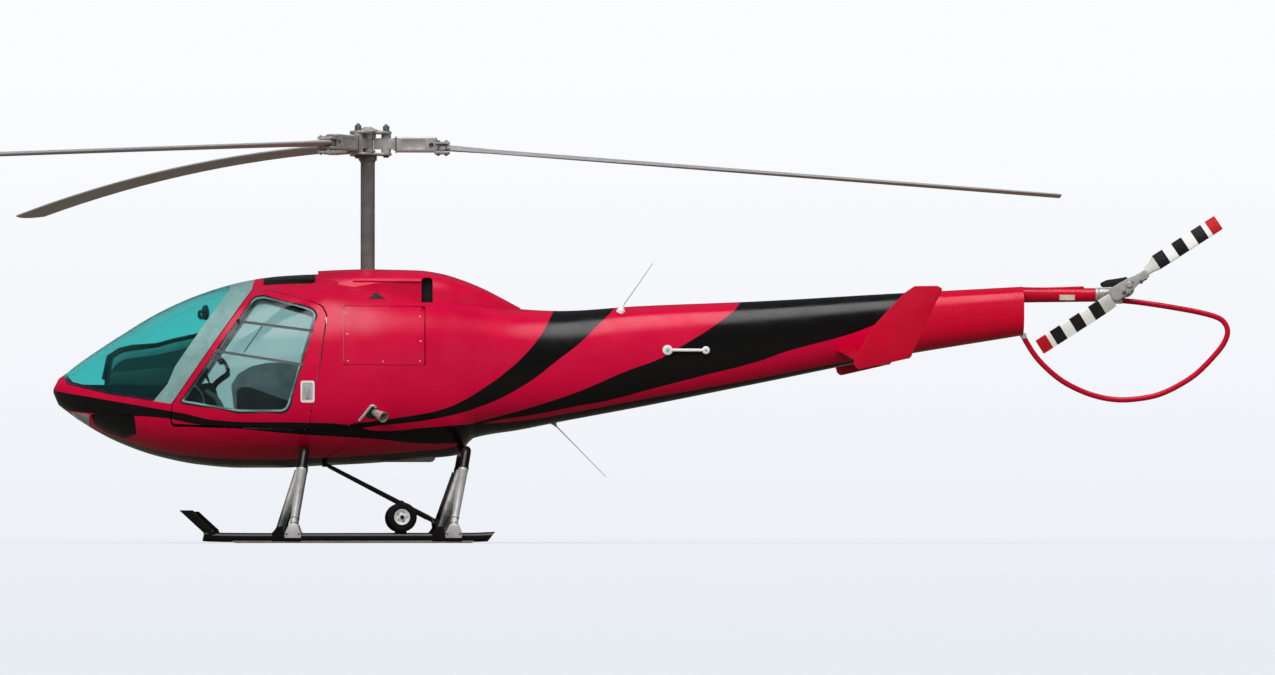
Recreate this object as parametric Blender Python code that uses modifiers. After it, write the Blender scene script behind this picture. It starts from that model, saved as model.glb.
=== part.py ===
"""A light three-seat helicopter with a three-blade rotor on a tall mast, parked on its skids.

Metres, +Z up, nose towards -X, port side towards -Y. Stations along the body are measured aft
from the rotor mast, and at() turns a station into X. The origin is on the floor, under the
middle of the whole machine.
"""
import math

import bmesh
import bpy
from mathutils import Matrix, Vector

# The rotor mast stands this far ahead of the middle of the whole machine.
MAST_X = -1.64

# Running gap between pieces that touch.
GAP = 0.0003

# Body lines: station aft of the mast, top, bottom, half width, height of the widest line.
BODY = (
    (-2.130, 1.045, 1.015, 0.018, 1.030),
    (-2.105, 1.102, 0.946, 0.085, 1.028),
    (-2.040, 1.152, 0.893, 0.175, 1.025),
    (-1.956, 1.218, 0.830, 0.265, 1.020),
    (-1.684, 1.401, 0.680, 0.455, 1.005),
    (-1.412, 1.565, 0.585, 0.595, 1.000),
    (-1.139, 1.687, 0.531, 0.690, 1.000),
    (-0.867, 1.769, 0.510, 0.745, 1.000),
    (-0.595, 1.812, 0.510, 0.772, 1.005),
    (-0.323, 1.825, 0.524, 0.775, 1.020),
    (0.000, 1.790, 0.540, 0.735, 1.045),
    (0.350, 1.728, 0.570, 0.640, 1.080),
    (0.610, 1.680, 0.597, 0.545, 1.110),
    (0.720, 1.655, 0.712, 0.505, 1.125),
    (1.040, 1.590, 0.769, 0.400, 1.170),
    (1.310, 1.578, 0.823, 0.340, 1.205),
    (1.854, 1.612, 0.925, 0.278, 1.275),
    (2.670, 1.646, 1.088, 0.228, 1.375),
    (3.486, 1.694, 1.252, 0.185, 1.480),
    (4.466, 1.748, 1.415, 0.145, 1.585),
)
ROUND_ABOVE = 2.3
ROUND_BELOW = 2.5
RING_POINTS = 24

NOSE = BODY[0][0]
TAIL_END = BODY[-1][0]
CABIN_END = -0.200
BAY_END = 0.720
CABIN_WALL = 0.025
HOLLOW_NOSE = -2.075
BAY_WALL = 0.012
CONE_WALL = 0.010
GLASS = 0.005
GLASS_INSET = 0.001
CABIN_STATIONS = (NOSE, -2.105, -2.04, -1.956, -1.82, -1.684, -1.50, -1.30, -1.10, -0.867, -0.595,
                  -0.323)
BAY_STATIONS = (0.0, 0.2, 0.4, 0.61, 0.665)
CONE_STATIONS = (0.88, 1.04, 1.31, 1.58, 1.854, 2.67, 3.486)

# Outlines seen from the side: station aft of the mast, height.
WINDSHIELD = ((-2.030, 1.071), (-1.739, 0.998), (-1.319, 0.9335), (-0.786, 1.705), (-0.735, 1.900),
              (-2.060, 1.900), (-2.060, 1.130))
# The hole behind the windshield leaves a broad post beside the door and a narrow sill below.
WINDSHIELD_HOLE = ((-2.000, 1.090), (-1.735, 1.018), (-1.425, 0.968), (-0.884, 1.705), (-0.800, 1.900),
                   (-2.040, 1.900), (-2.040, 1.140))
DOOR = ((-1.309, 0.934), (-0.790, 1.684), (-0.765, 1.700), (-0.633, 1.696), (-0.376, 1.620),
        (-0.312, 1.588), (-0.282, 1.535), (-0.322, 1.202), (-0.345, 1.100), (-0.396, 0.790),
        (-0.430, 0.758), (-1.300, 0.799), (-1.318, 0.815))
# The opening is this far larger than the door, and lower in front where the door's foot swings down.
DOOR_GAP = 0.008
DOOR_WAY = ((-1.309, 0.934), (-0.790, 1.684), (-0.765, 1.700), (-0.633, 1.696), (-0.376, 1.620),
            (-0.308, 1.590), (-0.278, 1.535), (-0.320, 1.202), (-0.345, 1.100), (-0.396, 0.790),
            (-0.430, 0.758), (-1.300, 0.786), (-1.322, 0.806))
DOOR_GLASS = ((-1.258, 0.950), (-0.783, 1.636), (-0.755, 1.658), (-0.700, 1.664), (-0.420, 1.590),
              (-0.365, 1.568), (-0.3425, 1.529), (-0.443, 1.195), (-0.520, 0.926), (-0.540, 0.888),
              (-0.575, 0.873), (-0.866, 0.873), (-1.141, 0.920), (-1.235, 0.936))
CHIN_GLASS = ((-1.872, 0.872), (-1.570, 0.862), (-1.555, 0.735), (-1.640, 0.705), (-1.760, 0.745),
              (-1.840, 0.800))
LAMP_GLASS = ((-2.010, 0.700), (-1.890, 0.700), (-1.890, 0.872), (-2.010, 0.886))
ENGINE_PANEL = ((-0.161, 1.195), (-0.161, 1.592), (0.358, 1.592), (0.378, 1.530), (0.378, 1.195))
ENGINE_PANEL_WAY = ((-0.168, 1.188), (-0.168, 1.599), (0.392, 1.599), (0.392, 1.188))
# Seen from above: station aft of the mast, distance from the centre line.
SKYLIGHT = ((-0.705, -0.340), (-0.680, -0.360), (-0.380, -0.385), (-0.355, -0.365), (-0.355, 0.365),
            (-0.380, 0.385), (-0.680, 0.360), (-0.705, 0.340))
CHIN_INNER_Y = 0.10
LAMP_HALF_WIDTH = 0.15
SIDE_REACH = 1.00

DOOR_HINGE_LOW = (-1.270, 1.0046)
DOOR_HINGE_HIGH = (-1.0212, 1.3646)
DOOR_HINGE_Y = 0.688
KNUCKLE_RADIUS = 0.009
KNUCKLE_LENGTH = 0.030
PANEL_HINGE_FRONT = (-0.161, 0.603)
PANEL_HINGE_REAR = (0.383, 0.450)
PANEL_HINGE_Z = 1.610
PANEL_HINGE_PLACES = (0.12, 0.88)
LEAF_RADIUS = 0.007

# Cowl over the roof: station aft of the mast, top, half width.
COWL = (
    (-0.337, 1.846, 0.370),
    (-0.190, 1.853, 0.385),
    (0.000, 1.858, 0.380),
    (0.200, 1.855, 0.365),
    (0.360, 1.850, 0.345),
    (0.500, 1.829, 0.315),
    (0.640, 1.787, 0.275),
    (0.780, 1.731, 0.220),
    (0.920, 1.660, 0.150),
    (1.040, 1.596, 0.060),
)
COWL_FOOT = 1.50
COWL_WALL = 0.012
COWL_HOLLOW_HALF = 0.240
COWL_ROUND = 3.2
# Air intake on each cowl side, seen from above: a ramp that deepens aft and ends in a slot.
INTAKE_RAMP = ((-0.270, 0.420), (-0.270, 0.380), (0.355, 0.290), (0.355, 0.200), (0.440, 0.200),
               (0.440, 0.420))
INTAKE_TOP = 1.790
INTAKE_LOW = 1.640

# Main rotor.
ROTOR_RADIUS = 4.72
HUB_Z = 2.710
HUB_TOP = 2.828
# Undersides of the hub's two plates, from the height of its arms.
HUB_PLATES = (-0.076, 0.072)
HUB_PLATE_THICKNESS = 0.016
HUB_WAIST = 0.072
HUB_LOBE = 0.091
HUB_PIN_REACH = 0.125
MAST_RADIUS = 0.0485
MAST_FOOT = 1.700
MAST_CLEARANCE = 0.010
GRIP_START = 0.188
GRIP_END = 0.466
CLAMP_END = 0.558
BLADE_START = 0.500
BLADE_CHORD = 0.240
BLADE_THICKNESS = 0.030
ROOT_PITCH = math.radians(7.0)
# Blade azimuth from straight aft, root height, droop per metre, droop per metre squared.
BLADES = ((0.0, 2.690, 0.0765, 0.0), (122.0, 2.712, 0.0, 0.0181), (-122.0, 2.700, 0.0645, 0.0))

# Tail rotor.
TAIL_HUB = (5.157, -0.380, 1.749)
TAIL_RADIUS = 0.742
TAIL_CHORD = 0.108
TAIL_CASING_RADIUS = 0.068
TAIL_TILT = math.radians(32.8)
TAIL_PITCH = math.radians(8.0)

# Landing gear.
SKID_Y = 1.105
SKID_RADIUS = 0.031
SKID_Z = 0.037
SKID_PATH = ((-1.340, 0.338), (-1.080, 0.098), (-1.030, 0.060), (-0.960, SKID_Z), (0.830, SKID_Z))
TOE_TOP = 0.217
SHOE_SPAN = (-0.900, 0.700)
CROSS_TUBE_RADIUS = 0.033
CROSS_TUBE_Z = 0.617
CROSS_TUBE_CORNER = 0.790
CROSS_TUBE_BEND = 0.045
OLEO_FOOT = 0.100
STUB_LOW = 0.492
# Side outlines of the shoes: station from the strut's foot, height.
OLEO_SHOE = ((-0.027, 0.122), (0.035, 0.122), (0.054, 0.072), (0.056, 0.030), (-0.056, 0.030), (-0.052, 0.072))
LEG_SHOE = ((-0.046, 0.062), (-0.013, 0.108), (0.030, 0.112))
SHOE_HALF_WIDTH = 0.044
# Station of the cross tube, the oleo's foot and the streamlined leg's foot.
FRONT_GEAR = (-0.425, -0.501, -0.594)
REAR_GEAR = (0.657, 0.567, 0.470)
WHEEL_STATION = 0.225
WHEEL_Z = 0.172
WHEEL_RADIUS = 0.0985
WHEEL_WIDTH = 0.056

# Tail guard's centre line, station and height.
GUARD = ((5.133, 1.655), (5.257, 1.643), (5.393, 1.624), (5.529, 1.602), (5.665, 1.577), (5.786, 1.545),
         (5.845, 1.510), (5.872, 1.450), (5.855, 1.380), (5.800, 1.300), (5.665, 1.161), (5.529, 1.071),
         (5.393, 1.010), (5.257, 0.983), (5.121, 0.976), (4.985, 0.997), (4.849, 1.045), (4.713, 1.122),
         (4.577, 1.247), (4.490, 1.375), (4.474, 1.425))
GUARD_RADIUS = 0.0185
TAIL_TUBE_Z = 1.692
TAIL_TUBE_END = 4.985

# Stabilizer: station of its leading and trailing edge and height at the body and at the tip.
STABILIZER_ROOT = (3.160, 3.600, 1.325)
STABILIZER_TIP = (3.245, 3.625, 1.236)
STABILIZER_THICKNESS = 0.040
PLATE_Y = 0.900
PLATE_THICKNESS = 0.018
END_PLATE = ((3.592, 1.676), (3.658, 1.721), (3.813, 1.723), (3.846, 1.703), (3.837, 1.676),
             (3.788, 1.586), (3.646, 1.277), (3.634, 1.240), (3.282, 1.159), (3.258, 1.180),
             (3.247, 1.224), (3.378, 1.449), (3.545, 1.628))

# Finishes: colour, roughness, metallic.
FINISHES = {
    "red": ((0.560, 0.002, 0.045), 0.25, 0.0),
    "black": ((0.012, 0.012, 0.012), 0.30, 0.0),
    "glass": ((0.150, 0.550, 0.520), 0.08, 0.0),
    "smoked": ((0.030, 0.035, 0.035), 0.10, 0.0),
    "steel": ((0.330, 0.330, 0.320), 0.38, 1.0),
    "light_metal": ((0.560, 0.560, 0.550), 0.35, 1.0),
    "fabric": ((0.020, 0.020, 0.022), 0.90, 0.0),
    "grey": ((0.280, 0.290, 0.290), 0.60, 0.0),
    "rubber": ((0.020, 0.020, 0.020), 0.75, 0.0),
    "white": ((0.800, 0.800, 0.780), 0.35, 0.0),
}


def at(station):
    """X of a station measured aft from the mast."""
    return MAST_X + station


def new_collection(name):
    collection = bpy.data.collections.new(name)
    bpy.context.scene.collection.children.link(collection)
    return collection


def clear_scene():
    for thing in list(bpy.data.objects):
        bpy.data.objects.remove(thing, do_unlink=True)


clear_scene()
PARTS = new_collection("helicopter")
CUTTERS = new_collection("cutters")


def paint(thing, finish):
    """Give an object a material of its own in one of the finishes."""
    colour, roughness, metallic = FINISHES[finish]
    material = bpy.data.materials.new(thing.name + "_" + finish)
    material.use_nodes = True
    shader = material.node_tree.nodes["Principled BSDF"]
    shader.inputs["Base Color"].default_value = (*colour, 1.0)
    shader.inputs["Roughness"].default_value = roughness
    shader.inputs["Metallic"].default_value = metallic
    thing.data.materials.clear()
    thing.data.materials.append(material)


def keep(thing, finish=None):
    """File an object as a part with a finish, or else as a cutter."""
    for collection in list(thing.users_collection):
        collection.objects.unlink(thing)
    if finish:
        PARTS.objects.link(thing)
        paint(thing, finish)
        return thing
    CUTTERS.objects.link(thing)
    thing.hide_render = True
    thing.display_type = "WIRE"
    return thing


def from_bmesh(name, shape, finish=None, smooth=False):
    """An object from a bmesh, with its faces pointing out."""
    shape.normal_update()
    bmesh.ops.recalc_face_normals(shape, faces=shape.faces)
    mesh = bpy.data.meshes.new(name)
    shape.to_mesh(mesh)
    shape.free()
    if smooth:
        mesh.shade_smooth()
        mesh.set_sharp_from_angle(angle=math.radians(35))
    return keep(bpy.data.objects.new(name, mesh), finish)


def boolean(thing, operation, *others):
    """Cut, join or trim an object with others by modifiers."""
    for other in others:
        modifier = thing.modifiers.new(operation.lower() + "_" + other.name, "BOOLEAN")
        modifier.operation = operation
        modifier.object = other
        modifier.solver = "EXACT"
    return thing


def cut(thing, *others):
    return boolean(thing, "DIFFERENCE", *others)


def join(thing, *others):
    return boolean(thing, "UNION", *others)


def trim(thing, *others):
    return boolean(thing, "INTERSECT", *others)


def smooth_value(rows, column, station):
    """Read one column of a table at a station, on a smooth curve that doesn't overshoot."""
    if station <= rows[0][0]:
        return rows[0][column]
    if station >= rows[-1][0]:
        return rows[-1][column]
    slopes = [(after[column] - before[column]) / (after[0] - before[0])
              for before, after in zip(rows, rows[1:])]
    tangents = [slopes[0]]
    for left, right in zip(slopes, slopes[1:]):
        tangents.append(0.0 if left * right <= 0 else 2 * left * right / (left + right))
    tangents.append(slopes[-1])
    index = max(i for i in range(len(rows) - 1) if rows[i][0] <= station)
    start, end = rows[index], rows[index + 1]
    width = end[0] - start[0]
    t = (station - start[0]) / width
    bend_in = t * (1 - t) ** 2 * width * tangents[index]
    bend_out = t * t * (t - 1) * width * tangents[index + 1]
    blend = t * t * (3 - 2 * t)
    return start[column] * (1 - blend) + end[column] * blend + bend_in + bend_out


def body_section(station, inset=0.0):
    """Top, bottom, half width and widest height of the body at a station, less an inset."""
    top, bottom, half, middle = (smooth_value(BODY, column, station) for column in (1, 2, 3, 4))
    return top - inset, bottom + inset, half - inset, middle


def body_ring(station, inset=0.0, points=RING_POINTS):
    """Points round the body's skin at a station."""
    top, bottom, half, middle = body_section(station, inset)
    ring = []
    for index in range(points):
        angle = 2 * math.pi * index / points
        side, rise = math.cos(angle), math.sin(angle)
        power = 2 / (ROUND_ABOVE if rise >= 0 else ROUND_BELOW)
        height = top - middle if rise >= 0 else middle - bottom
        ring.append(Vector((at(station),
                            math.copysign(abs(side) ** power, side) * half,
                            middle + math.copysign(abs(rise) ** power, rise) * height)))
    return ring


def side_of_body(station, height):
    """Distance of the body's skin from the centre line at a station and height."""
    top, bottom, half, middle = body_section(station)
    if height >= middle:
        share = (height - middle) / (top - middle)
        return half * (1 - share ** ROUND_ABOVE) ** (1 / ROUND_ABOVE)
    share = (middle - height) / (middle - bottom)
    return half * (1 - share ** ROUND_BELOW) ** (1 / ROUND_BELOW)


def loft(name, rings, finish=None, smooth=False):
    """A closed solid through rings of equal count, with flat ends."""
    shape = bmesh.new()
    rows = [[shape.verts.new(point) for point in ring] for ring in rings]
    for row, following in zip(rows, rows[1:]):
        for index in range(len(row)):
            after = (index + 1) % len(row)
            shape.faces.new((row[index], row[after], following[after], following[index]))
    # Every loft splits its sides the same way, so that nested lofts keep their distance.
    bmesh.ops.triangulate(shape, faces=shape.faces, quad_method="FIXED")
    shape.faces.new(rows[0])
    shape.faces.new(reversed(rows[-1]))
    return from_bmesh(name, shape, finish, smooth)


def body_loft(name, start, end, stations, inset=0.0, finish=None):
    """A solid of the body between two stations, inset from its skin."""
    between = [station for station in stations if start + 0.01 < station < end - 0.01]
    rings = [body_ring(station, inset) for station in (start, *between, end)]
    return loft(name, rings, finish, smooth=True)


def slab(name, outline, low, high, plan=False, finish=None):
    """A flat outline, seen from the side or from above, made as thick as from low to high."""
    curve = bpy.data.curves.new(name, "CURVE")
    curve.dimensions = "2D"
    curve.fill_mode = "BOTH"
    curve.extrude = (high - low) / 2
    spline = curve.splines.new("POLY")
    spline.points.add(len(outline) - 1)
    spline.use_cyclic_u = True
    for point, (station, other) in zip(spline.points, outline):
        point.co = (at(station), other, 0, 1)
    drawn = bpy.data.objects.new(name, curve)
    middle = (low + high) / 2
    if plan:
        drawn.location = (0, 0, middle)
    else:
        drawn.rotation_euler = (math.pi / 2, 0, 0)
        drawn.location = (0, middle, 0)
    return solid_from_curve(drawn, finish)


def solid_from_curve(drawn, finish=None, smooth=False):
    """Turn a curve object into a closed mesh object and remove the curve."""
    bpy.context.scene.collection.objects.link(drawn)
    bpy.context.view_layer.update()
    evaluated = drawn.evaluated_get(bpy.context.evaluated_depsgraph_get())
    mesh = bpy.data.meshes.new_from_object(evaluated)
    name, matrix = drawn.name, drawn.matrix_world.copy()
    shape = bmesh.new()
    shape.from_mesh(mesh)
    bpy.data.objects.remove(drawn, do_unlink=True)
    bpy.data.meshes.remove(mesh)
    bmesh.ops.remove_doubles(shape, verts=shape.verts, dist=0.00002)
    shape.transform(matrix)
    return from_bmesh(name, shape, finish, smooth)


def tube(name, points, radius, finish=None, sides=2):
    """A round tube with closed ends along points."""
    curve = bpy.data.curves.new(name, "CURVE")
    curve.dimensions = "3D"
    curve.bevel_depth = radius
    curve.bevel_resolution = sides
    curve.use_fill_caps = True
    spline = curve.splines.new("POLY")
    spline.points.add(len(points) - 1)
    for point, place in zip(spline.points, points):
        point.co = (*place, 1)
    return solid_from_curve(bpy.data.objects.new(name, curve), finish, smooth=True)


def rod(name, start, end, radius, finish=None, sides=12, end_radius=None):
    """A cylinder or cone between two points."""
    start, end = Vector(start), Vector(end)
    shape = bmesh.new()
    bmesh.ops.create_cone(shape, cap_ends=True, segments=sides, radius1=radius,
                          radius2=radius if end_radius is None else end_radius,
                          depth=(end - start).length)
    turn = Vector((0, 0, 1)).rotation_difference(end - start).to_matrix().to_4x4()
    shape.transform(Matrix.Translation((start + end) / 2) @ turn)
    return from_bmesh(name, shape, finish, smooth=True)


def box(name, low, high, finish=None, turn=None):
    """A box between two corners, turned about its middle if a rotation is given."""
    low, high = Vector(low), Vector(high)
    shape = bmesh.new()
    bmesh.ops.create_cube(shape, size=1)
    size = high - low
    shape.transform(Matrix.Diagonal((*size, 1)))
    place = Matrix.Translation((low + high) / 2)
    if turn:
        place = place @ turn.to_matrix().to_4x4()
    shape.transform(place)
    return from_bmesh(name, shape, finish)


def grown(outline, amount):
    """An outline moved outward by an amount, its corners kept sharp."""
    area = sum(a[0] * b[1] - b[0] * a[1] for a, b in zip(outline, (*outline[1:], outline[0])))
    sign = 1 if area > 0 else -1
    moved = []
    for before, corner, after in zip((outline[-1], *outline[:-1]), outline, (*outline[1:], outline[0])):
        into = (Vector(corner) - Vector(before)).normalized()
        out_of = (Vector(after) - Vector(corner)).normalized()
        normal_in = Vector((into.y, -into.x)) * sign
        normal_out = Vector((out_of.y, -out_of.x)) * sign
        miter = normal_in + normal_out
        step = miter * (2 * amount / miter.length_squared)
        moved.append((corner[0] + step.x, corner[1] + step.y))
    return tuple(moved)


def side_slab(name, outline, side, inner=0.22, finish=None):
    """A side outline taken through one flank of the body: side is -1 for port, 1 for starboard."""
    ends = sorted((side * inner, side * SIDE_REACH))
    return slab(name, outline, *ends, finish=finish)


def side_word(side):
    return "left" if side < 0 else "right"


def on_body(station, height, side, out=0.0):
    """A point on the body's skin, or a little way out of it."""
    return Vector((at(station), side * (side_of_body(station, height) + out), height))


def door_hinge(side):
    """The door hinge's lower and upper point."""
    return tuple(Vector((at(station), side * DOOR_HINGE_Y, height))
                 for station, height in (DOOR_HINGE_LOW, DOOR_HINGE_HIGH))


def panel_hinge(side):
    """The engine panel hinge's front and rear point."""
    return tuple(Vector((at(station), side * reach, PANEL_HINGE_Z))
                 for station, reach in (PANEL_HINGE_FRONT, PANEL_HINGE_REAR))


def knuckles(name, hinge, places, leaf, leaf_radius, moving):
    """Hinge knuckles on an axis: each a barrel and a leaf that reaches into its piece."""
    low, high = hinge
    along = (high - low).normalized()
    made = []
    for number, place in enumerate(places):
        middle = low.lerp(high, place)
        shift = (KNUCKLE_LENGTH / 2 + GAP) * (1 if moving else -1)
        centre = middle + along * shift
        ends = (centre - along * KNUCKLE_LENGTH / 2, centre + along * KNUCKLE_LENGTH / 2)
        barrel = rod(f"{name}_barrel_{number}", *ends, KNUCKLE_RADIUS, sides=12)
        made.append(join(barrel, rod(f"{name}_leaf_{number}", centre, centre + leaf, leaf_radius, sides=8)))
    return made


def cabin():
    """Cabin shell with its openings, glass, floor and rear bulkhead."""
    outer = (NOSE, CABIN_END, CABIN_STATIONS)
    shell = body_loft("cabin_shell", *outer, finish="red")
    cut(shell, body_loft("cabin_hollow", HOLLOW_NOSE, CABIN_END + 0.02, CABIN_STATIONS, CABIN_WALL))
    glass_back = body_loft("glass_back", -2.11, CABIN_END + 0.01, CABIN_STATIONS, GLASS_INSET + GLASS)

    def glass_piece(name, trims, finish):
        piece = body_loft(name, -2.12, CABIN_END - 0.02, CABIN_STATIONS, GLASS_INSET, finish)
        cut(piece, glass_back)
        trim(piece, trims)
        return piece

    screen_slab = slab("windshield_outline", WINDSHIELD, -SIDE_REACH, SIDE_REACH)
    screen = glass_piece("windshield", screen_slab, "glass")
    rebate = body_loft("windshield_rebate", -2.12, CABIN_END, CABIN_STATIONS, -0.010)
    cut(rebate, body_loft("rebate_floor", -2.11, CABIN_END + 0.01, CABIN_STATIONS,
                          GLASS_INSET + GLASS + GAP))
    trim(rebate, slab("rebate_outline", grown(WINDSHIELD, GAP), -SIDE_REACH, SIDE_REACH))
    cut(shell, rebate, slab("windshield_opening", WINDSHIELD_HOLE, -SIDE_REACH, SIDE_REACH))
    sky_slab = slab("skylight_outline", SKYLIGHT, 1.4, 2.0, plan=True)
    glass_piece("skylight", sky_slab, "smoked")
    cut(shell, slab("skylight_opening", grown(SKYLIGHT, GAP), 1.4, 2.0, plan=True))
    lamp_slab = slab("landing_light_outline", LAMP_GLASS, -LAMP_HALF_WIDTH, LAMP_HALF_WIDTH)
    glass_piece("landing_light", lamp_slab, "white")
    cut(shell, slab("landing_light_opening", grown(LAMP_GLASS, GAP), -LAMP_HALF_WIDTH - GAP,
                    LAMP_HALF_WIDTH + GAP))
    for side in (-1, 1):
        word = side_word(side)
        chin_slab = side_slab(f"chin_outline_{word}", CHIN_GLASS, side, CHIN_INNER_Y)
        glass_piece(f"chin_window_{word}", chin_slab, "smoked")
        cut(shell, side_slab(f"chin_opening_{word}", grown(CHIN_GLASS, GAP), side, CHIN_INNER_Y - GAP))
        cut(shell, side_slab(f"door_opening_{word}", grown(DOOR_WAY, DOOR_GAP), side))
        leaf = Vector((-0.012, -side * 0.060, 0.008))
        join(shell, *knuckles(f"post_{word}", door_hinge(side), (0.0, 1.0), leaf, LEAF_RADIUS, False))
        cut(screen, *knuckles(f"notch_{word}", door_hinge(side), (0.0, 1.0), leaf, LEAF_RADIUS + GAP,
                              False))
    cut(shell, cross_tube("front_cross_tube_hole", FRONT_GEAR, CROSS_TUBE_RADIUS + GAP))
    inside = body_loft("cabin_inside", HOLLOW_NOSE, CABIN_END + 0.02, CABIN_STATIONS, CABIN_WALL + GAP)
    floor = box("cabin_floor", (at(-1.70), -0.8, 0.680), (at(CABIN_END - 0.024), 0.8, 0.700), "grey")
    trim(floor, inside)
    wall = box("cabin_bulkhead", (at(CABIN_END - 0.0235), -0.9, 0.4), (at(CABIN_END - 0.0035), 0.9, 2.0),
               "grey")
    trim(wall, inside)
    return inside


def door(side):
    """One cabin door: skin with an inner frame, window hole, hinge leaves and a latch plate."""
    word = side_word(side)
    outline = side_slab(f"door_outline_{word}", DOOR, side)
    panel = body_loft(f"door_{word}", -1.40, CABIN_END, CABIN_STATIONS, 0.0, "red")
    cut(panel, body_loft(f"door_inner_face_{word}", -1.45, CABIN_END + 0.05, CABIN_STATIONS, CABIN_WALL))
    trim(panel, outline)
    cut(panel, side_slab(f"door_window_hole_{word}", grown(DOOR_GLASS, GAP), side, 0.20))
    leaf = Vector((0.029, -side * 0.055, -0.020))
    join(panel, *knuckles(f"door_{word}", door_hinge(side), (0.0, 1.0), leaf, LEAF_RADIUS, True))
    pane = body_loft(f"door_window_{word}", -1.40, CABIN_END, CABIN_STATIONS, GLASS_INSET, "glass")
    cut(pane, body_loft(f"door_window_back_{word}", -1.45, CABIN_END + 0.05, CABIN_STATIONS,
                        GLASS_INSET + GLASS))
    trim(pane, side_slab(f"door_window_outline_{word}", DOOR_GLASS, side))


def seats_and_controls(inside):
    """Bench seat, instrument console and the two sticks, inside the cabin's inner skin."""
    base_top = 0.860
    base = box("seat_base", (at(-0.840), -0.640, 0.7003), (at(-0.330), 0.640, base_top), "grey")
    trim(base, inside)
    cushion = box("seat_cushion", (at(-0.860), -0.620, base_top + GAP), (at(-0.400), 0.620, 0.970),
                  "fabric")
    trim(cushion, inside)
    back = box("seat_back", (at(-0.360), -0.575, 0.860), (at(-0.260), 0.575, 1.490), "fabric",
               Matrix.Rotation(math.radians(6), 3, "Y").to_quaternion())
    trim(back, inside)
    console_side = ((-1.780, 1.060), (-1.760, 1.215), (-1.700, 1.270), (-1.450, 1.290), (-1.160, 1.370),
                    (-1.120, 1.350), (-1.180, 1.130), (-1.240, 0.860), (-1.240, 0.7003), (-1.560, 0.7003),
                    (-1.580, 0.950))
    hood = slab("instrument_console", console_side, -0.260, 0.260, finish="black")
    trim(hood, inside)
    for side in (-1, 1):
        path = ((-0.960, 0.7003), (-0.960, 0.780), (-0.930, 0.880), (-0.920, 1.060), (-0.950, 1.180), (-1.030, 1.280))
        points = [(at(station), side * 0.330, height) for station, height in path]
        tube(f"cyclic_stick_{side_word(side)}", points, 0.012, "black")


def engine_bay():
    """Skin behind the cabin with its two access panels, engine and main gearbox."""
    skin = body_loft("engine_bay_skin", CABIN_END + GAP, BAY_END - GAP, BAY_STATIONS, 0.0, "red")
    cut(skin, body_loft("bay_hollow", CABIN_END - 0.01, BAY_END + 0.01, BAY_STATIONS, BAY_WALL))
    for side in (-1, 1):
        word = side_word(side)
        cut(skin, side_slab(f"panel_opening_{word}", ENGINE_PANEL_WAY, side))
        join(skin, *knuckles(f"bay_{word}", panel_hinge(side), PANEL_HINGE_PLACES,
                             Vector((0, -side * 0.072, 0.006)), LEAF_RADIUS, False))
        panel = body_loft(f"engine_panel_{word}", CABIN_END + GAP, BAY_END - GAP, BAY_STATIONS, 0.0, "red")
        cut(panel, body_loft(f"panel_back_{word}", CABIN_END - 0.01, BAY_END + 0.01, BAY_STATIONS,
                             BAY_WALL))
        trim(panel, side_slab(f"panel_outline_{word}", ENGINE_PANEL, side))
        join(panel, *knuckles(f"panel_{word}", panel_hinge(side), PANEL_HINGE_PLACES,
                              Vector((0, -side * 0.016, -0.034)), LEAF_RADIUS, True))
    cut(skin, cross_tube("rear_cross_tube_hole", REAR_GEAR, CROSS_TUBE_RADIUS + GAP))
    inside = body_loft("bay_inside", CABIN_END - 0.01, BAY_END + 0.01, BAY_STATIONS, BAY_WALL + GAP)
    engine = box("engine_block", (at(-0.100), -0.380, 0.800), (at(0.520), 0.380, 1.200), "steel")
    join(engine, *(box(f"engine_foot_{number}", (at(station), -0.120, 0.500), (at(station + 0.050),
                                                                               0.120, 0.820))
                   for number, station in enumerate((-0.050, 0.430))))
    trim(engine, inside)
    gearbox = box("main_gearbox", (at(-0.160), -0.160, 1.200 + GAP), (at(0.160), 0.160, 1.600), "steel")
    join(gearbox, rod("gearbox_tower", (at(0), 0, 1.580), (at(0), 0, MAST_FOOT - GAP), 0.090))


def cowl_ring(station, inset=0.0, narrowed=None, points=16):
    """Points round the cowl at a station: an arch above a deep foot."""
    top, half = (smooth_value(COWL, column, station) - inset for column in (1, 2))
    half = min(half, narrowed or half)
    ring = []
    for index in range(points + 1):
        angle = math.pi * index / points
        side, rise = math.cos(angle), math.sin(angle)
        power = 2 / COWL_ROUND
        ring.append(Vector((at(station), math.copysign(abs(side) ** power, side) * half,
                            COWL_FOOT + rise ** power * (top - COWL_FOOT))))
    return ring


def cowl():
    """Raised cowl over the roof, with an intake ramp and slot on each side."""
    stations = [row[0] for row in COWL]
    hump = loft("engine_cowl", [cowl_ring(station) for station in stations], "red", smooth=True)
    hollow = [cowl_ring(station, COWL_WALL, COWL_HOLLOW_HALF) for station in (-0.325, *stations[1:6])]
    cut(hump, loft("cowl_hollow", hollow))
    for side in (-1, 1):
        outline = [(station, side * reach) for station, reach in INTAKE_RAMP]
        cut(hump, slab(f"intake_{side_word(side)}", outline, INTAKE_LOW, INTAKE_TOP, plan=True))
    whole = (*CABIN_STATIONS[-2:], CABIN_END, *BAY_STATIONS, BAY_END, 0.88, 1.04, 1.2)
    cut(hump, loft("cowl_seat", [body_ring(station, -GAP) for station in whole]))
    mast_hole = rod("mast_hole", (at(0), 0, 1.71), (at(0), 0, 2.0), MAST_RADIUS + MAST_CLEARANCE, sides=20)
    cut(hump, mast_hole)
    cut(bpy.data.objects["engine_bay_skin"], mast_hole)


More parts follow.
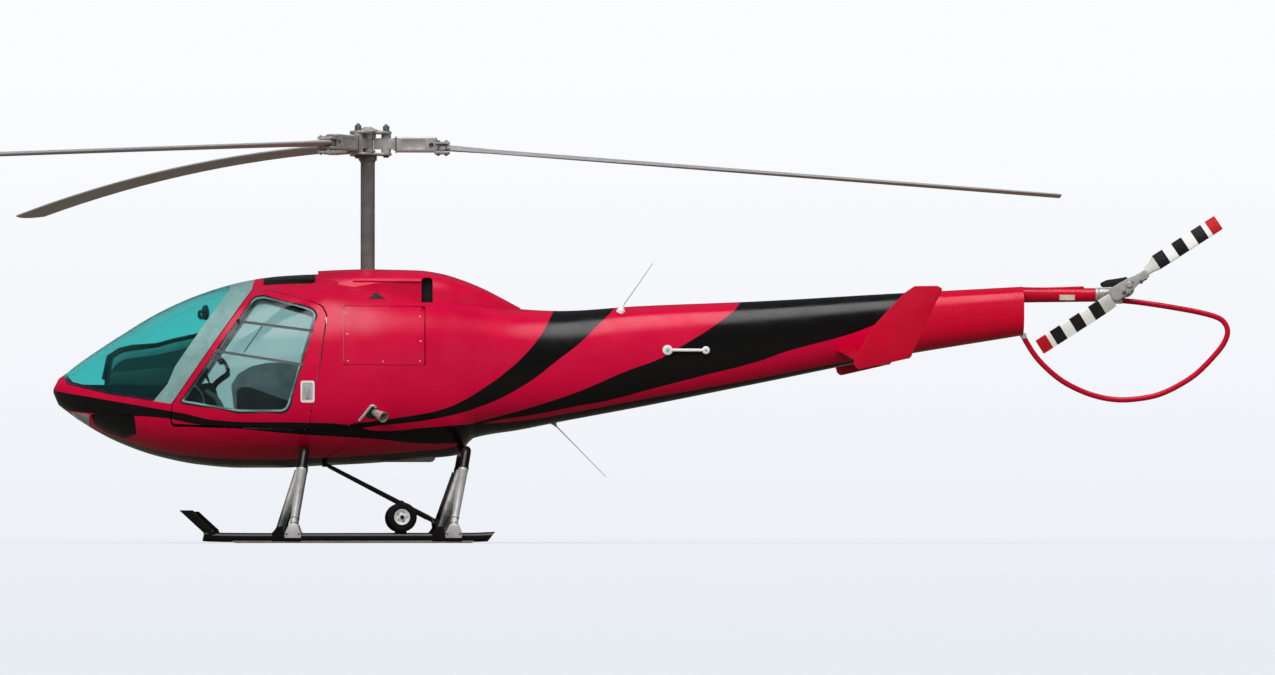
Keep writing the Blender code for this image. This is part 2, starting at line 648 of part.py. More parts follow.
def airfoil(chord, thickness, lead=0.25):
    """Points of a slender section: x runs from the leading edge aft, z up."""
    places = (1.0, 0.62, 0.3, 0.1, 0.0)
    rise = (0.02, 0.62, 1.0, 0.75, 0.0)
    upper = [((place - lead) * chord, share * thickness / 2) for place, share in zip(places, rise)]
    lower = [(x, -z) for x, z in reversed(upper[:-1])]
    return upper + lower


def tail_group():
    """Tail cone, drive tube, gearbox, guard, stabilizer, end plates and the cone's handles."""
    stations = (*CONE_STATIONS,)
    cone = body_loft("tail_cone", BAY_END, TAIL_END, stations, 0.0, "red")
    cut(cone, body_loft("cone_hollow", BAY_END - 0.01, TAIL_END - 0.016, stations, CONE_WALL))
    rings = []
    slot_rings = []
    for y, (lead, trail, height) in ((-PLATE_Y + PLATE_THICKNESS / 2 + GAP, STABILIZER_TIP),
                                     (0.0, STABILIZER_ROOT),
                                     (PLATE_Y - PLATE_THICKNESS / 2 - GAP, STABILIZER_TIP)):
        chord = trail - lead
        for store, extra in ((rings, 0.0), (slot_rings, 2 * GAP)):
            scale = chord + 2 * extra
            store.append([Vector((at(lead - extra) + x, y, height + z))
                          for x, z in airfoil(scale, STABILIZER_THICKNESS + 2 * extra, lead=0.0)])
    loft("stabilizer", rings, "red", smooth=True)
    cut(cone, loft("stabilizer_slot", slot_rings))
    for side in (-1, 1):
        word = side_word(side)
        slab(f"end_plate_{word}", END_PLATE, *sorted((side * (PLATE_Y - PLATE_THICKNESS / 2),
                                                      side * (PLATE_Y + PLATE_THICKNESS / 2))),
             finish="red")
        ends = (2.030, 2.290)
        for number, (station, radius) in enumerate(zip(ends, (0.028, 0.018))):
            join(cone, rod(f"handle_foot_{word}_{number}", on_body(station, 1.305, side, -0.008),
                           on_body(station, 1.305, side, 0.030), radius))
        join(cone, rod(f"handle_bar_{word}", on_body(ends[0], 1.305, side, 0.020),
                       on_body(ends[1], 1.305, side, 0.020), 0.008, sides=10))
    tube_front = (at(TAIL_END + GAP), 0, TAIL_TUBE_Z)
    rod("tail_drive_tube", tube_front, (at(TAIL_TUBE_END), 0, TAIL_TUBE_Z), 0.053, "red",
        sides=16, end_radius=0.046)
    hub = Vector((at(TAIL_HUB[0]), TAIL_HUB[1], TAIL_HUB[2]))
    gearbox = rod("tail_gearbox", (at(TAIL_TUBE_END + GAP), 0, TAIL_TUBE_Z),
                  (at(5.120), 0, TAIL_TUBE_Z), 0.052, "light_metal", sides=16)
    casing = ((hub.x, 0.075, hub.z - 0.010), (hub.x, -0.110, hub.z - 0.010))
    join(gearbox, rod("tail_gearbox_body", *casing, TAIL_CASING_RADIUS, sides=16),
         rod("tail_output_sleeve", (hub.x, -0.100, hub.z), (hub.x, -0.270, hub.z), 0.036, sides=14),
         box("tail_guard_lug", (at(5.090), -0.022, 1.630), (at(5.150), 0.022, 1.690)))
    guard_points = [(at(station), 0, height) for station, height in GUARD]
    guard = tube("tail_guard", guard_points, GUARD_RADIUS, "red")
    cut(guard, rod("guard_casing_seat", *casing, TAIL_CASING_RADIUS + GAP, sides=16),
        box("guard_top_end", (at(4.9), -0.1, 1.60), (at(5.150 + GAP), 0.1, 1.72)),
        box("guard_low_end", (at(4.40), -0.1, 1.30), (at(TAIL_END + GAP), 0.1, 1.50)))


def antennas_and_exhaust():
    """Two whip antennas and the exhaust pipe on the port flank."""
    upper_foot = Vector((at(1.714), -0.140, 1.560))
    upper = rod("antenna_upper", upper_foot, upper_foot + Vector((0.020, -0.006, 0.060)), 0.030, "white",
                sides=12, end_radius=0.008)
    join(upper, rod("antenna_upper_whip", upper_foot + Vector((0.016, -0.005, 0.045)),
                    Vector((at(1.935), -0.180, 1.898)), 0.004, sides=8, end_radius=0.0025))
    lower_foot = Vector((at(1.262), 0, 0.830))
    lower = rod("antenna_lower", lower_foot, lower_foot + Vector((0.020, 0, -0.045)), 0.022, "grey",
                sides=12, end_radius=0.008)
    join(lower, rod("antenna_lower_whip", lower_foot + Vector((0.016, 0, -0.030)),
                    Vector((at(1.622), 0, 0.449)), 0.004, sides=8, end_radius=0.0025))
    stations = (0.88, 1.04, 1.31, 1.58, 1.854, 2.67)
    skin = loft("antenna_seat", [body_ring(station, -GAP) for station in stations])
    cut(upper, skin)
    cut(lower, skin)
    foot = on_body(0.027, 0.886, -1, -0.060)
    pipe = rod("exhaust_pipe", foot, foot + Vector((0.060, -0.125, -0.050)), 0.034, "steel", sides=14)
    bore = rod("exhaust_bore", foot + Vector((0.030, -0.0625, -0.025)), foot + Vector((0.072, -0.150, -0.060)),
               0.029, sides=14)
    cut(pipe, bore)
    hole = rod("exhaust_hole", foot - Vector((0.030, -0.0625, -0.025)),
               foot + Vector((0.060, -0.125, -0.050)), 0.034 + GAP, sides=14)
    cut(bpy.data.objects["engine_bay_skin"], hole)


def strut_line(side, stations):
    """Corner of the cross tube, end of its stub and foot of the oleo, all on one slanted line."""
    corner = Vector((at(stations[0]), side * CROSS_TUBE_CORNER, CROSS_TUBE_Z))
    foot = Vector((at(stations[1]), side * (SKID_Y - 0.012), OLEO_FOOT))
    share = (CROSS_TUBE_Z - STUB_LOW) / (CROSS_TUBE_Z - OLEO_FOOT)
    return corner, corner.lerp(foot, share), foot


def cross_tube(name, stations, radius, finish=None):
    """A tube across the hull whose ends bend down to the oleos."""
    half = []
    for side in (-1, 1):
        corner, stub, foot = strut_line(side, stations)
        inner = corner - Vector((0, side * CROSS_TUBE_BEND, 0))
        outer = corner + (foot - corner).normalized() * CROSS_TUBE_BEND
        bend = [inner.lerp(corner, share).lerp(corner.lerp(outer, share), share) for share in (0, 0.25, 0.5, 0.75, 1)]
        half.append([*bend, stub])
    return tube(name, [*reversed(half[0]), *half[1]], radius, finish, sides=5)


def streamlined(name, start, end, chord, thickness, sides=12):
    """A bar of oval section, its long axis fore and aft."""
    along = (end - start).normalized()
    fore = (Vector((1, 0, 0)) - along * along.x).normalized()
    across = along.cross(fore)
    angles = [2 * math.pi * index / sides for index in range(sides)]
    return loft(name, [[place + fore * math.cos(angle) * chord / 2 + across * math.sin(angle) * thickness / 2
                        for angle in angles] for place in (start, end)])


def gear_leg(side, stations, name):
    """One corner of the landing gear: oleo strut, streamlined leg and their shoes."""
    oleo_station, leg_station = stations[1:]
    corner, stub, foot = strut_line(side, stations)
    crown = stub + (foot - stub).normalized() * GAP
    oleo = rod(f"gear_leg_{name}", crown, foot, 0.034, "light_metal", sides=14, end_radius=0.022)
    reach = sorted((side * SKID_Y - SHOE_HALF_WIDTH, side * SKID_Y + SHOE_HALF_WIDTH))
    oleo_shoe = [(oleo_station + station, height) for station, height in OLEO_SHOE]
    leg_shoe = [(leg_station + station, height) for station, height in LEG_SHOE]
    leg_shoe += [(oleo_station - 0.054, 0.030), (leg_station - 0.046, 0.030)]
    leg_top = stub.lerp(foot, 0.08) - Vector((0.026, 0, 0))
    leg_foot = Vector((at(leg_station), foot.y, 0.085))
    join(oleo, rod(f"oleo_collar_{name}", crown.lerp(foot, 0.84), crown.lerp(foot, 0.93), 0.027, sides=14),
         streamlined(f"leg_bar_{name}", leg_top, leg_foot, 0.060, 0.028),
         slab(f"oleo_shoe_{name}", oleo_shoe, *reach),
         slab(f"leg_shoe_{name}", leg_shoe, *reach))
    skid_path = [(at(-1.0), side * SKID_Y, SKID_Z), (at(0.9), side * SKID_Y, SKID_Z)]
    cut(oleo, tube(f"skid_seat_{name}", skid_path, SKID_RADIUS + GAP))


def landing_gear():
    """Cross tubes, legs, skids with wear shoes, drag struts and ground handling wheels."""
    for name, stations in (("front", FRONT_GEAR), ("rear", REAR_GEAR)):
        cross_tube(f"cross_tube_{name}", stations, CROSS_TUBE_RADIUS, "black")
        for side in (-1, 1):
            gear_leg(side, stations, f"{name}_{side_word(side)}")
    for side in (-1, 1):
        word = side_word(side)
        points = [(at(station), side * SKID_Y, height) for station, height in SKID_PATH]
        skid = tube(f"skid_{word}", points, SKID_RADIUS, "black")
        cut(skid, box(f"toe_cut_{word}", (at(-1.6), side * SKID_Y - 0.1, TOE_TOP),
                      (at(-1.0), side * SKID_Y + 0.1, 0.5)),
            box(f"heel_cut_{word}", (at(0.81), side * SKID_Y - 0.1, -0.10),
                (at(0.99), side * SKID_Y + 0.1, 0.10), turn=Matrix.Rotation(math.radians(38), 3, "Y")
                .to_quaternion()))
        join(skid, box(f"wear_shoe_{word}", (at(SHOE_SPAN[0]), side * SKID_Y - 0.018, 0.0),
                       (at(SHOE_SPAN[1]), side * SKID_Y + 0.018, 0.014)))
        wheel_mount(skid, side)
        rear_foot = Vector((at(REAR_GEAR[2] - 0.02), side * 1.0, 0.150))
        strut_top = Vector((at(-0.290), side * 0.340, 0.535))
        strut = rod(f"drag_strut_{word}", strut_top, rear_foot, 0.011, "black", sides=12)
        join(strut, rod(f"strut_lug_{word}", strut_top + Vector((0, 0, 0.030)), strut_top
                        + Vector((0, 0, -0.018)), 0.020, sides=12))
        cut(strut, loft(f"strut_seat_{word}", [body_ring(station, -GAP)
                                               for station in (-0.5, -0.323, CABIN_END, -0.08)]))
        leg = bpy.data.objects[f"gear_leg_rear_{word}"]
        eye = rod(f"strut_eye_{word}", rear_foot + Vector((0.012, side * 0.001, -0.004)),
                  Vector((at(REAR_GEAR[2]), side * (SKID_Y - 0.03), 0.095)), 0.016, sides=12)
        join(leg, eye)
        cut(strut, rod(f"strut_eye_seat_{word}", rear_foot + Vector((0.012, side * 0.001, -0.004)),
                       Vector((at(REAR_GEAR[2]), side * (SKID_Y - 0.03), 0.095)), 0.016 + GAP, sides=12))


def wheel_mount(skid, side):
    """Bracket and axle of a ground handling wheel on a skid, and the wheel itself."""
    word = side_word(side)
    x = at(WHEEL_STATION)
    inner_y = side * (SKID_Y - WHEEL_WIDTH / 2 - 0.016)
    outer_y = side * (SKID_Y + WHEEL_WIDTH / 2 + 0.002)
    ends = sorted((inner_y, inner_y + side * 0.008))
    join(skid, box(f"wheel_arm_{word}", (x - 0.026, ends[0], 0.050), (x + 0.026, ends[1], WHEEL_Z + 0.030)),
         box(f"wheel_clamp_{word}", (x - 0.026, min(inner_y, side * SKID_Y), 0.045),
             (x + 0.026, max(inner_y, side * SKID_Y), 0.0665)),
         rod(f"wheel_axle_{word}", (x, inner_y, WHEEL_Z), (x, outer_y + side * 0.006, WHEEL_Z), 0.011),
         rod(f"wheel_nut_{word}", (x, outer_y, WHEEL_Z), (x, outer_y + side * 0.010, WHEEL_Z), 0.018))
    half = WHEEL_WIDTH / 2
    bore = 0.0118
    hub = 0.030
    rim = WHEEL_RADIUS * 0.62
    profile = ((bore, -half), (hub, -half), (hub, -half * 0.5), (rim, -half * 0.5), (rim + 0.006, -half),
               (WHEEL_RADIUS - 0.012, -half), (WHEEL_RADIUS, -half * 0.6), (WHEEL_RADIUS, half * 0.6),
               (WHEEL_RADIUS - 0.012, half), (rim + 0.006, half), (rim, half * 0.5), (hub, half * 0.5),
               (hub, half), (bore, half))
    shape = bmesh.new()
    verts = [shape.verts.new((radius, 0, height)) for radius, height in profile]
    for first, second in zip(verts, (*verts[1:], verts[0])):
        shape.edges.new((first, second))
    mesh = bpy.data.meshes.new(f"wheel_{word}")
    shape.to_mesh(mesh)
    shape.free()
    wheel = bpy.data.objects.new(f"wheel_{word}", mesh)
    wheel.location = (x, side * SKID_Y, WHEEL_Z)
    wheel.rotation_euler = (math.pi / 2, 0, 0)
    screw = wheel.modifiers.new("turn", "SCREW")
    screw.steps = 20
    screw.render_steps = 20
    screw.use_merge_vertices = True
    screw.merge_threshold = 0.00005
    screw.use_normal_calculate = True
    keep(wheel, "rubber")


def main_rotor():
    """Mast, hub and three blades with their grips."""
    hub_foot = HUB_Z + HUB_PLATES[0] - 0.0008
    mast = rod("rotor_mast", (at(0), 0, MAST_FOOT), (at(0), 0, hub_foot - 0.010), MAST_RADIUS, "steel",
               sides=20)
    join(mast, rod("mast_collar", (at(0), 0, hub_foot - 0.035), (at(0), 0, hub_foot - GAP), 0.062, sides=20))
    arms = [math.radians(blade[0]) for blade in BLADES]
    hub = rod("rotor_hub", (at(0), 0, hub_foot), (at(0), 0, HUB_Z + HUB_PLATES[1] + 0.004), 0.040, "steel",
              sides=18)
    join(hub, rod("hub_crown", (at(0), 0, HUB_Z + HUB_PLATES[1] + 0.010), (at(0), 0, HUB_TOP), 0.072,
                  sides=18, end_radius=0.036))
    for level in HUB_PLATES:
        outline = []
        for step in range(30):
            angle = 2 * math.pi * step / 30
            lobe = max(math.cos(angle - arm) for arm in arms)
            reach = HUB_WAIST + HUB_LOBE * max(0, 2 * lobe - 1)
            outline.append((math.cos(angle) * reach, math.sin(angle) * reach))
        join(hub, slab(f"hub_plate_{level}", outline, HUB_Z + level, HUB_Z + level + HUB_PLATE_THICKNESS,
                       plan=True))
    for number, arm in enumerate(arms):
        along = Vector((math.cos(arm), math.sin(arm), 0))
        pin = Vector((at(0), 0, HUB_Z)) + along * HUB_PIN_REACH
        block = box(f"hub_block_{number}", (-HUB_PIN_REACH, -0.030, -0.033),
                    (GRIP_START - GAP - HUB_PIN_REACH, 0.030, 0.043))
        block.matrix_world = Matrix.Translation(pin) @ Matrix.Rotation(arm, 4, "Z")
        join(hub, block, rod(f"hub_pin_{number}", pin - Vector((0, 0, 0.090)), pin + Vector((0, 0, 0.138)),
                             0.016, sides=10))
    for number, (azimuth, root_z, slope, bend) in enumerate(BLADES, start=1):
        angle = math.radians(azimuth)
        turn = Matrix.Translation((at(0), 0, 0)) @ Matrix.Rotation(angle, 4, "Z")
        grip = box(f"blade_grip_{number}", (GRIP_START, -0.045, HUB_Z - 0.053), (GRIP_END, 0.045,
                                                                               HUB_Z + 0.050), "steel")
        clamp_drop = slope * (CLAMP_END - GRIP_END) / 2
        join(grip, box(f"grip_clamp_{number}", (GRIP_END - 0.01, -0.060, root_z - 0.050 - clamp_drop),
                       (CLAMP_END, 0.060, root_z + 0.050 - clamp_drop)))
        rings = []
        count = 9 if bend else 5
        for step in range(count):
            radius = BLADE_START + (ROTOR_RADIUS - BLADE_START) * step / (count - 1)
            run = radius - BLADE_START
            height = root_z - slope * run - bend * run * run
            pitch = ROOT_PITCH * (1 - run / (ROTOR_RADIUS - BLADE_START))
            section = []
            for x, z in airfoil(BLADE_CHORD, BLADE_THICKNESS):
                section.append(Vector((radius, -x * math.cos(pitch) - z * math.sin(pitch),
                                       height - x * math.sin(pitch) + z * math.cos(pitch))))
            rings.append(section)
        blade = loft(f"main_blade_{number}", rings, "steel", smooth=True)
        cut(blade, box(f"blade_root_cut_{number}", (0.40, -0.3, 2.5), (CLAMP_END + GAP, 0.3, 2.9)))
        for thing in (grip, blade):
            thing.data.transform(turn)
            for modifier in thing.modifiers:
                modifier.object.data.transform(turn)


def tail_rotor():
    """Tail rotor hub and two blades."""
    hub_place = Vector((at(TAIL_HUB[0]), TAIL_HUB[1], TAIL_HUB[2]))
    hub = rod("tail_rotor_hub", hub_place + Vector((0, 0.110 - GAP, 0)), hub_place - Vector((0, 0.035, 0)), 0.020,
              "light_metal")
    tilt = Matrix.Translation(hub_place) @ Matrix.Rotation(-TAIL_TILT, 4, "Y")
    arm = box("tail_hub_arm", (-0.150, -0.022, -0.026), (0.150, 0.022, 0.026))
    arm.data.transform(tilt)
    join(hub, arm)
    for number, turn in enumerate((0.0, math.pi), start=1):
        rings = []
        for radius, chord, thickness in ((0.150 + GAP, 0.060, 0.030), (0.230, TAIL_CHORD, 0.020),
                                         (TAIL_RADIUS, TAIL_CHORD, 0.014)):
            section = []
            for x, z in airfoil(chord, thickness):
                section.append(Vector((radius, z * math.cos(TAIL_PITCH) + x * math.sin(TAIL_PITCH),
                                       x * math.cos(TAIL_PITCH) - z * math.sin(TAIL_PITCH))))
            rings.append(section)
        blade = loft(f"tail_blade_{number}", rings, "white", smooth=True)
        blade.data.transform(tilt @ Matrix.Rotation(turn, 4, "Y"))


def main():
    inside = cabin()
    for side in (-1, 1):
        door(side)
    seats_and_controls(inside)
    engine_bay()
    cowl()
    tail_group()
    antennas_and_exhaust()
    landing_gear()
    main_rotor()
    tail_rotor()


main()
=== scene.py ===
"""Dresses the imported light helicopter: paint, glass, cabin, rotors, landing gear and the studio.

Metres, +Z up, nose towards -X, port side towards -Y. Stations run aft from the rotor mast and
at() turns one into X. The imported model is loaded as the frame, and every piece rides on one of
its bodies.
"""
from math import atan2, ceil, copysign, cos, pi, radians, sin, sqrt, tan

import bmesh
import bpy
from bpy.props import FloatProperty, FloatVectorProperty, PointerProperty
from mathutils import Matrix, Vector


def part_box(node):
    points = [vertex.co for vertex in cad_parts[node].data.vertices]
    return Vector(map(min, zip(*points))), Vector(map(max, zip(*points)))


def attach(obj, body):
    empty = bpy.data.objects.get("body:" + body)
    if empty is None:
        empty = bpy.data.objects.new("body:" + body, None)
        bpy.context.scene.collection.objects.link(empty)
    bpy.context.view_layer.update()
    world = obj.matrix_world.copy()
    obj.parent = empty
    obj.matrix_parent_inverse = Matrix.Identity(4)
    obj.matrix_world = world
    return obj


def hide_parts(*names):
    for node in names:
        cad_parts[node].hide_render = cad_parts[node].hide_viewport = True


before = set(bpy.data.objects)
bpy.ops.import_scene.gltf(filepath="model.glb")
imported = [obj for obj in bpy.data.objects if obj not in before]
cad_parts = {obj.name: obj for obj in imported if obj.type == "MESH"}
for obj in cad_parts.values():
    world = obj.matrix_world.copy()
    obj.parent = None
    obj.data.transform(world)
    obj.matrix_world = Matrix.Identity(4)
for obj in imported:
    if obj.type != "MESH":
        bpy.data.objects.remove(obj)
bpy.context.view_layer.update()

bl_info = {"name": "Light helicopter", "version": (1, 0, 0), "blender": (4, 5, 0),
    "location": "View3D > Sidebar > Helicopter",
    "description": "Dresses the light helicopter's solids and builds its studio", "category": "Object"}

AIRFRAME = "airframe"
MAST_X = -1.64
UP = (0, 0, 1)
SIDES = ((-1, "left"), (1, "right"))

# Body lines: station aft of the mast, top, bottom, half width, height of the widest line.
BODY = ((-2.13, 1.045, 1.015, 0.018, 1.03), (-2.105, 1.102, 0.946, 0.085, 1.028),
    (-2.04, 1.152, 0.893, 0.175, 1.025), (-1.956, 1.218, 0.83, 0.265, 1.02),
    (-1.684, 1.401, 0.68, 0.455, 1.005), (-1.412, 1.565, 0.585, 0.595, 1.0),
    (-1.139, 1.687, 0.531, 0.69, 1.0), (-0.867, 1.769, 0.51, 0.745, 1.0),
    (-0.595, 1.812, 0.51, 0.772, 1.005), (-0.323, 1.825, 0.524, 0.775, 1.02),
    (0.0, 1.79, 0.54, 0.735, 1.045), (0.35, 1.728, 0.57, 0.64, 1.08), (0.61, 1.68, 0.597, 0.545, 1.11),
    (0.72, 1.655, 0.712, 0.505, 1.125), (1.04, 1.59, 0.769, 0.4, 1.17), (1.31, 1.578, 0.823, 0.34, 1.205),
    (1.854, 1.612, 0.925, 0.278, 1.275), (2.67, 1.646, 1.088, 0.228, 1.375),
    (3.486, 1.694, 1.252, 0.185, 1.48), (4.466, 1.748, 1.415, 0.145, 1.585))
ROUND_ABOVE = 2.3
ROUND_BELOW = 2.5
RING_POINTS = 112
NOSE = BODY[0][0]
TAIL_END = BODY[-1][0]
CABIN_END = -0.2
BAY_END = 0.72
GAP = 0.0003
SEAM = 0.0025
CABIN_WALL = 0.025
BAY_WALL = 0.012
CONE_WALL = 0.01
GLASS = 0.005
GLASS_INSET = 0.001
SIDE_REACH = 1.0
FLANK_INNER = 0.22
FLOOR_TOP = 0.7003
STICK_Y = 0.33
SMOOTH_ANGLE = 30.0

# Outlines seen from the side: station, height.
WINDSHIELD = ((-2.03, 1.071), (-1.739, 0.998), (-1.319, 0.9335), (-0.786, 1.705), (-0.735, 1.9),
    (-2.06, 1.9), (-2.06, 1.13))
WINDSHIELD_HOLE = ((-2.0, 1.09), (-1.735, 1.018), (-1.425, 0.968), (-0.884, 1.705), (-0.8, 1.9),
    (-2.04, 1.9), (-2.04, 1.14))
GREY_BAND = ((-1.319, 0.9335), (-0.786, 1.705), (-0.735, 1.9), (-0.9, 1.9), (-0.935, 1.705), (-1.12, 1.44),
    (-1.295, 1.182), (-1.345, 1.064), (-1.44, 0.952))
DOOR = ((-1.309, 0.934), (-0.79, 1.684), (-0.765, 1.7), (-0.633, 1.696), (-0.376, 1.62), (-0.312, 1.588),
    (-0.282, 1.535), (-0.322, 1.202), (-0.345, 1.1), (-0.396, 0.79), (-0.43, 0.758), (-1.3, 0.799),
    (-1.318, 0.815))
DOOR_WAY = (*DOOR[:5], (-0.308, 1.59), (-0.278, 1.535), (-0.32, 1.202), *DOOR[8:11], (-1.3, 0.786),
    (-1.322, 0.806))
DOOR_GAP = 0.008
DOOR_GLASS = ((-1.258, 0.95), (-0.783, 1.636), (-0.755, 1.658), (-0.7, 1.664), (-0.42, 1.59),
    (-0.365, 1.568), (-0.3425, 1.529), (-0.443, 1.195), (-0.52, 0.926), (-0.54, 0.888), (-0.575, 0.873),
    (-0.866, 0.873), (-1.141, 0.92), (-1.235, 0.936))
CHIN_GLASS = ((-1.872, 0.872), (-1.57, 0.862), (-1.555, 0.735), (-1.64, 0.705), (-1.76, 0.745),
    (-1.84, 0.8))
LAMP_GLASS = ((-2.01, 0.7), (-1.89, 0.7), (-1.89, 0.872), (-2.01, 0.886))
ENGINE_PANEL = ((-0.161, 1.195), (-0.161, 1.592), (0.358, 1.592), (0.378, 1.53), (0.378, 1.195))
ENGINE_PANEL_WAY = ((-0.168, 1.188), (-0.168, 1.599), (0.392, 1.599), (0.392, 1.188))
# Seen from above: station, distance from the centre line.
SKYLIGHT = ((-0.705, -0.34), (-0.68, -0.36), (-0.38, -0.385), (-0.355, -0.365), (-0.355, 0.365),
    (-0.38, 0.385), (-0.68, 0.36), (-0.705, 0.34))
CHIN_INNER_Y = 0.1
LAMP_HALF_WIDTH = 0.15

# Cowl: station, top, half width.
COWL = ((-0.337, 1.846, 0.37), (-0.19, 1.853, 0.385), (0.0, 1.858, 0.38), (0.2, 1.855, 0.365),
    (0.36, 1.85, 0.345), (0.5, 1.829, 0.315), (0.64, 1.787, 0.275), (0.78, 1.731, 0.22), (0.92, 1.66, 0.15),
    (1.04, 1.596, 0.06))
COWL_FOOT = 1.5
COWL_WALL = 0.012
COWL_HOLLOW_HALF = 0.24
COWL_ROUND = 3.2
INTAKE_RAMP = ((-0.27, 0.42), (-0.27, 0.38), (0.37, 0.285), (0.37, 0.42))
RAMP_TOP = 1.764
INTAKE_SLOT = ((0.362, 1.56), (0.362, 1.796), (0.438, 1.796), (0.438, 1.56))
INTAKE_LOW = 1.6
RECESS_INNER = 0.211
INTAKE_RECESS = ((-0.316, 1.764), (0.049, 1.703), (0.347, 1.622), (0.438, 1.622), (0.438, 1.95),
    (-0.316, 1.95))

# Stripes seen from the side, as upper and lower edges: station, height.
STRIPES = ((((-2.131, 1.033), (-2.085, 1.023), (-1.807, 0.972), (-1.533, 0.922), (-1.262, 0.873),
    (-0.925, 0.814), (-0.503, 0.807), (-0.2, 0.798), (-0.05, 0.772), (0.083, 0.752), (0.367, 0.773),
    (0.623, 0.795), (0.688, 0.8)), ((-2.131, 0.93), (-2.06, 0.902), (-1.944, 0.885), (-1.738, 0.863),
    (-1.398, 0.841), (-1.127, 0.792), (-0.925, 0.772), (-0.503, 0.731), (-0.081, 0.705), (0.083, 0.695),
    (0.367, 0.67), (0.623, 0.675), (0.688, 0.69))), (((-0.12, 0.798), (0.202, 0.84), (0.489, 0.895),
    (0.632, 0.953), (0.774, 1.039), (0.917, 1.141), (1.06, 1.27), (1.175, 1.412), (1.259, 1.568),
    (1.3, 1.64), (1.7, 1.64)), ((-0.12, 0.755), (0.083, 0.788), (0.202, 0.8), (0.489, 0.842),
    (0.774, 0.924), (1.06, 1.067), (1.286, 1.237), (1.442, 1.359), (1.547, 1.464), (1.673, 1.59),
    (1.7, 1.63))), (((0.6, 0.78), (0.7, 0.806), (0.889, 0.856), (1.125, 0.922), (1.41, 1.018),
    (1.754, 1.164), (1.972, 1.245), (2.128, 1.334), (2.325, 1.456), (2.481, 1.571), (2.587, 1.66),
    (3.9, 1.76)), ((0.6, 0.76), (0.7, 0.79), (0.889, 0.83), (1.125, 0.867), (1.41, 0.924), (1.6, 0.958),
    (1.965, 1.054), (2.277, 1.134), (2.658, 1.233), (2.827, 1.294), (3.269, 1.416), (3.418, 1.471),
    (3.643, 1.566), (3.78, 1.7), (3.9, 1.75))))
BELLY = ((-1.87, 0.79), (-1.78, 0.742), (-1.684, 0.708), (-1.55, 0.66), (-1.4, 0.618), (-1.1, 0.575),
    (-0.7, 0.56), (-0.3, 0.572), (0.0, 0.59), (0.35, 0.62), (0.6, 0.65), (0.64, 0.79), (0.72, 0.806),
    (0.889, 0.811), (1.125, 0.838), (1.41, 0.888), (1.93, 0.985), (2.55, 1.097), (3.3, 1.24), (3.7, 1.31))

# Main rotor.
HUB_Z = 2.71
HUB_TOP = 2.828
HUB_PLATES = (-0.076, 0.072)
HUB_PLATE_THICKNESS = 0.016
HUB_WAIST = 0.072
HUB_LOBE = 0.091
HUB_PIN_REACH = 0.125
MAST_RADIUS = 0.0485
ROTOR_RADIUS = 4.72
GRIP_START = 0.188
GRIP_END = 0.466
CLAMP_END = 0.558
BLADE_START = 0.5
BLADE_CHORD = 0.24
BLADE_THICKNESS = 0.03
ROOT_PITCH = radians(7.0)
# Azimuth from straight aft, root height, droop per metre, droop per metre squared.
BLADES = ((0.0, 2.69, 0.0765, 0.0), (122.0, 2.712, 0.0, 0.0181), (-122.0, 2.7, 0.0645, 0.0))

# Tail.
TAIL_HUB = Vector((MAST_X + 5.157, -0.38, 1.749))
TAIL_RADIUS = 0.742
TAIL_CHORD = 0.108
TAIL_TILT = radians(32.8)
TAIL_PITCH = radians(8.0)
TAIL_TUBE_Z = 1.692
TAIL_TUBE_END = 4.985
GUARD = ((5.133, 1.655), (5.257, 1.643), (5.393, 1.624), (5.529, 1.602), (5.665, 1.577), (5.786, 1.545),
    (5.845, 1.51), (5.872, 1.45), (5.855, 1.38), (5.8, 1.3), (5.665, 1.161), (5.529, 1.071), (5.393, 1.01),
    (5.257, 0.983), (5.121, 0.976), (4.985, 0.997), (4.849, 1.045), (4.713, 1.122), (4.577, 1.247),
    (4.49, 1.375), (4.474, 1.425))
GUARD_RADIUS = 0.0185
# Station of leading and trailing edge and height, at the cone and at the tip.
STABILIZER_ROOT = (3.16, 3.6, 1.325)
STABILIZER_TIP = (3.245, 3.625, 1.236)
STABILIZER_THICKNESS = 0.04
PLATE_Y = 0.9
PLATE_THICKNESS = 0.018
END_PLATE = ((3.592, 1.676), (3.658, 1.721), (3.813, 1.723), (3.846, 1.703), (3.837, 1.676), (3.788, 1.586),
    (3.646, 1.277), (3.634, 1.24), (3.282, 1.159), (3.258, 1.18), (3.247, 1.224), (3.378, 1.449),
    (3.545, 1.628))

# Landing gear.
SKID_Y = 1.105
SKID_RADIUS = 0.031
SKID_Z = 0.037
SKID_PATH = ((-1.34, 0.338), (-1.08, 0.098), (-1.03, 0.06), (-0.96, SKID_Z), (0.6, SKID_Z))
TOE_TOP = 0.217
SHOE_SPAN = (-0.9, 0.7)
CROSS_TUBE_RADIUS = 0.033
CROSS_TUBE_Z = 0.617
CROSS_TUBE_CORNER = 0.79
CROSS_TUBE_BEND = 0.045
OLEO_FOOT = 0.1
STUB_LOW = 0.492
# Side outline of a leg's shoe: station from the leg's foot, height.
LEG_SHOE = ((-0.046, 0.062), (-0.013, 0.108), (0.03, 0.112))
# Station of the cross tube, the oleo's foot and the streamlined leg's foot.
FRONT_GEAR = (-0.425, -0.501, -0.594)
REAR_GEAR = (0.657, 0.567, 0.47)
WHEEL_STATION = 0.225
WHEEL_Z = 0.172
WHEEL_RADIUS = 0.0985
WHEEL_WIDTH = 0.056

CAMERA_DISTANCE = 51.0
CAMERA_PLACE = (MAST_X - 0.255, -CAMERA_DISTANCE, 0.034)
CAMERA_AIM = (MAST_X + 1.837, 0, 1.398)
CAMERA_LENS = 211.7
FLOOR_NEAR = 2.0


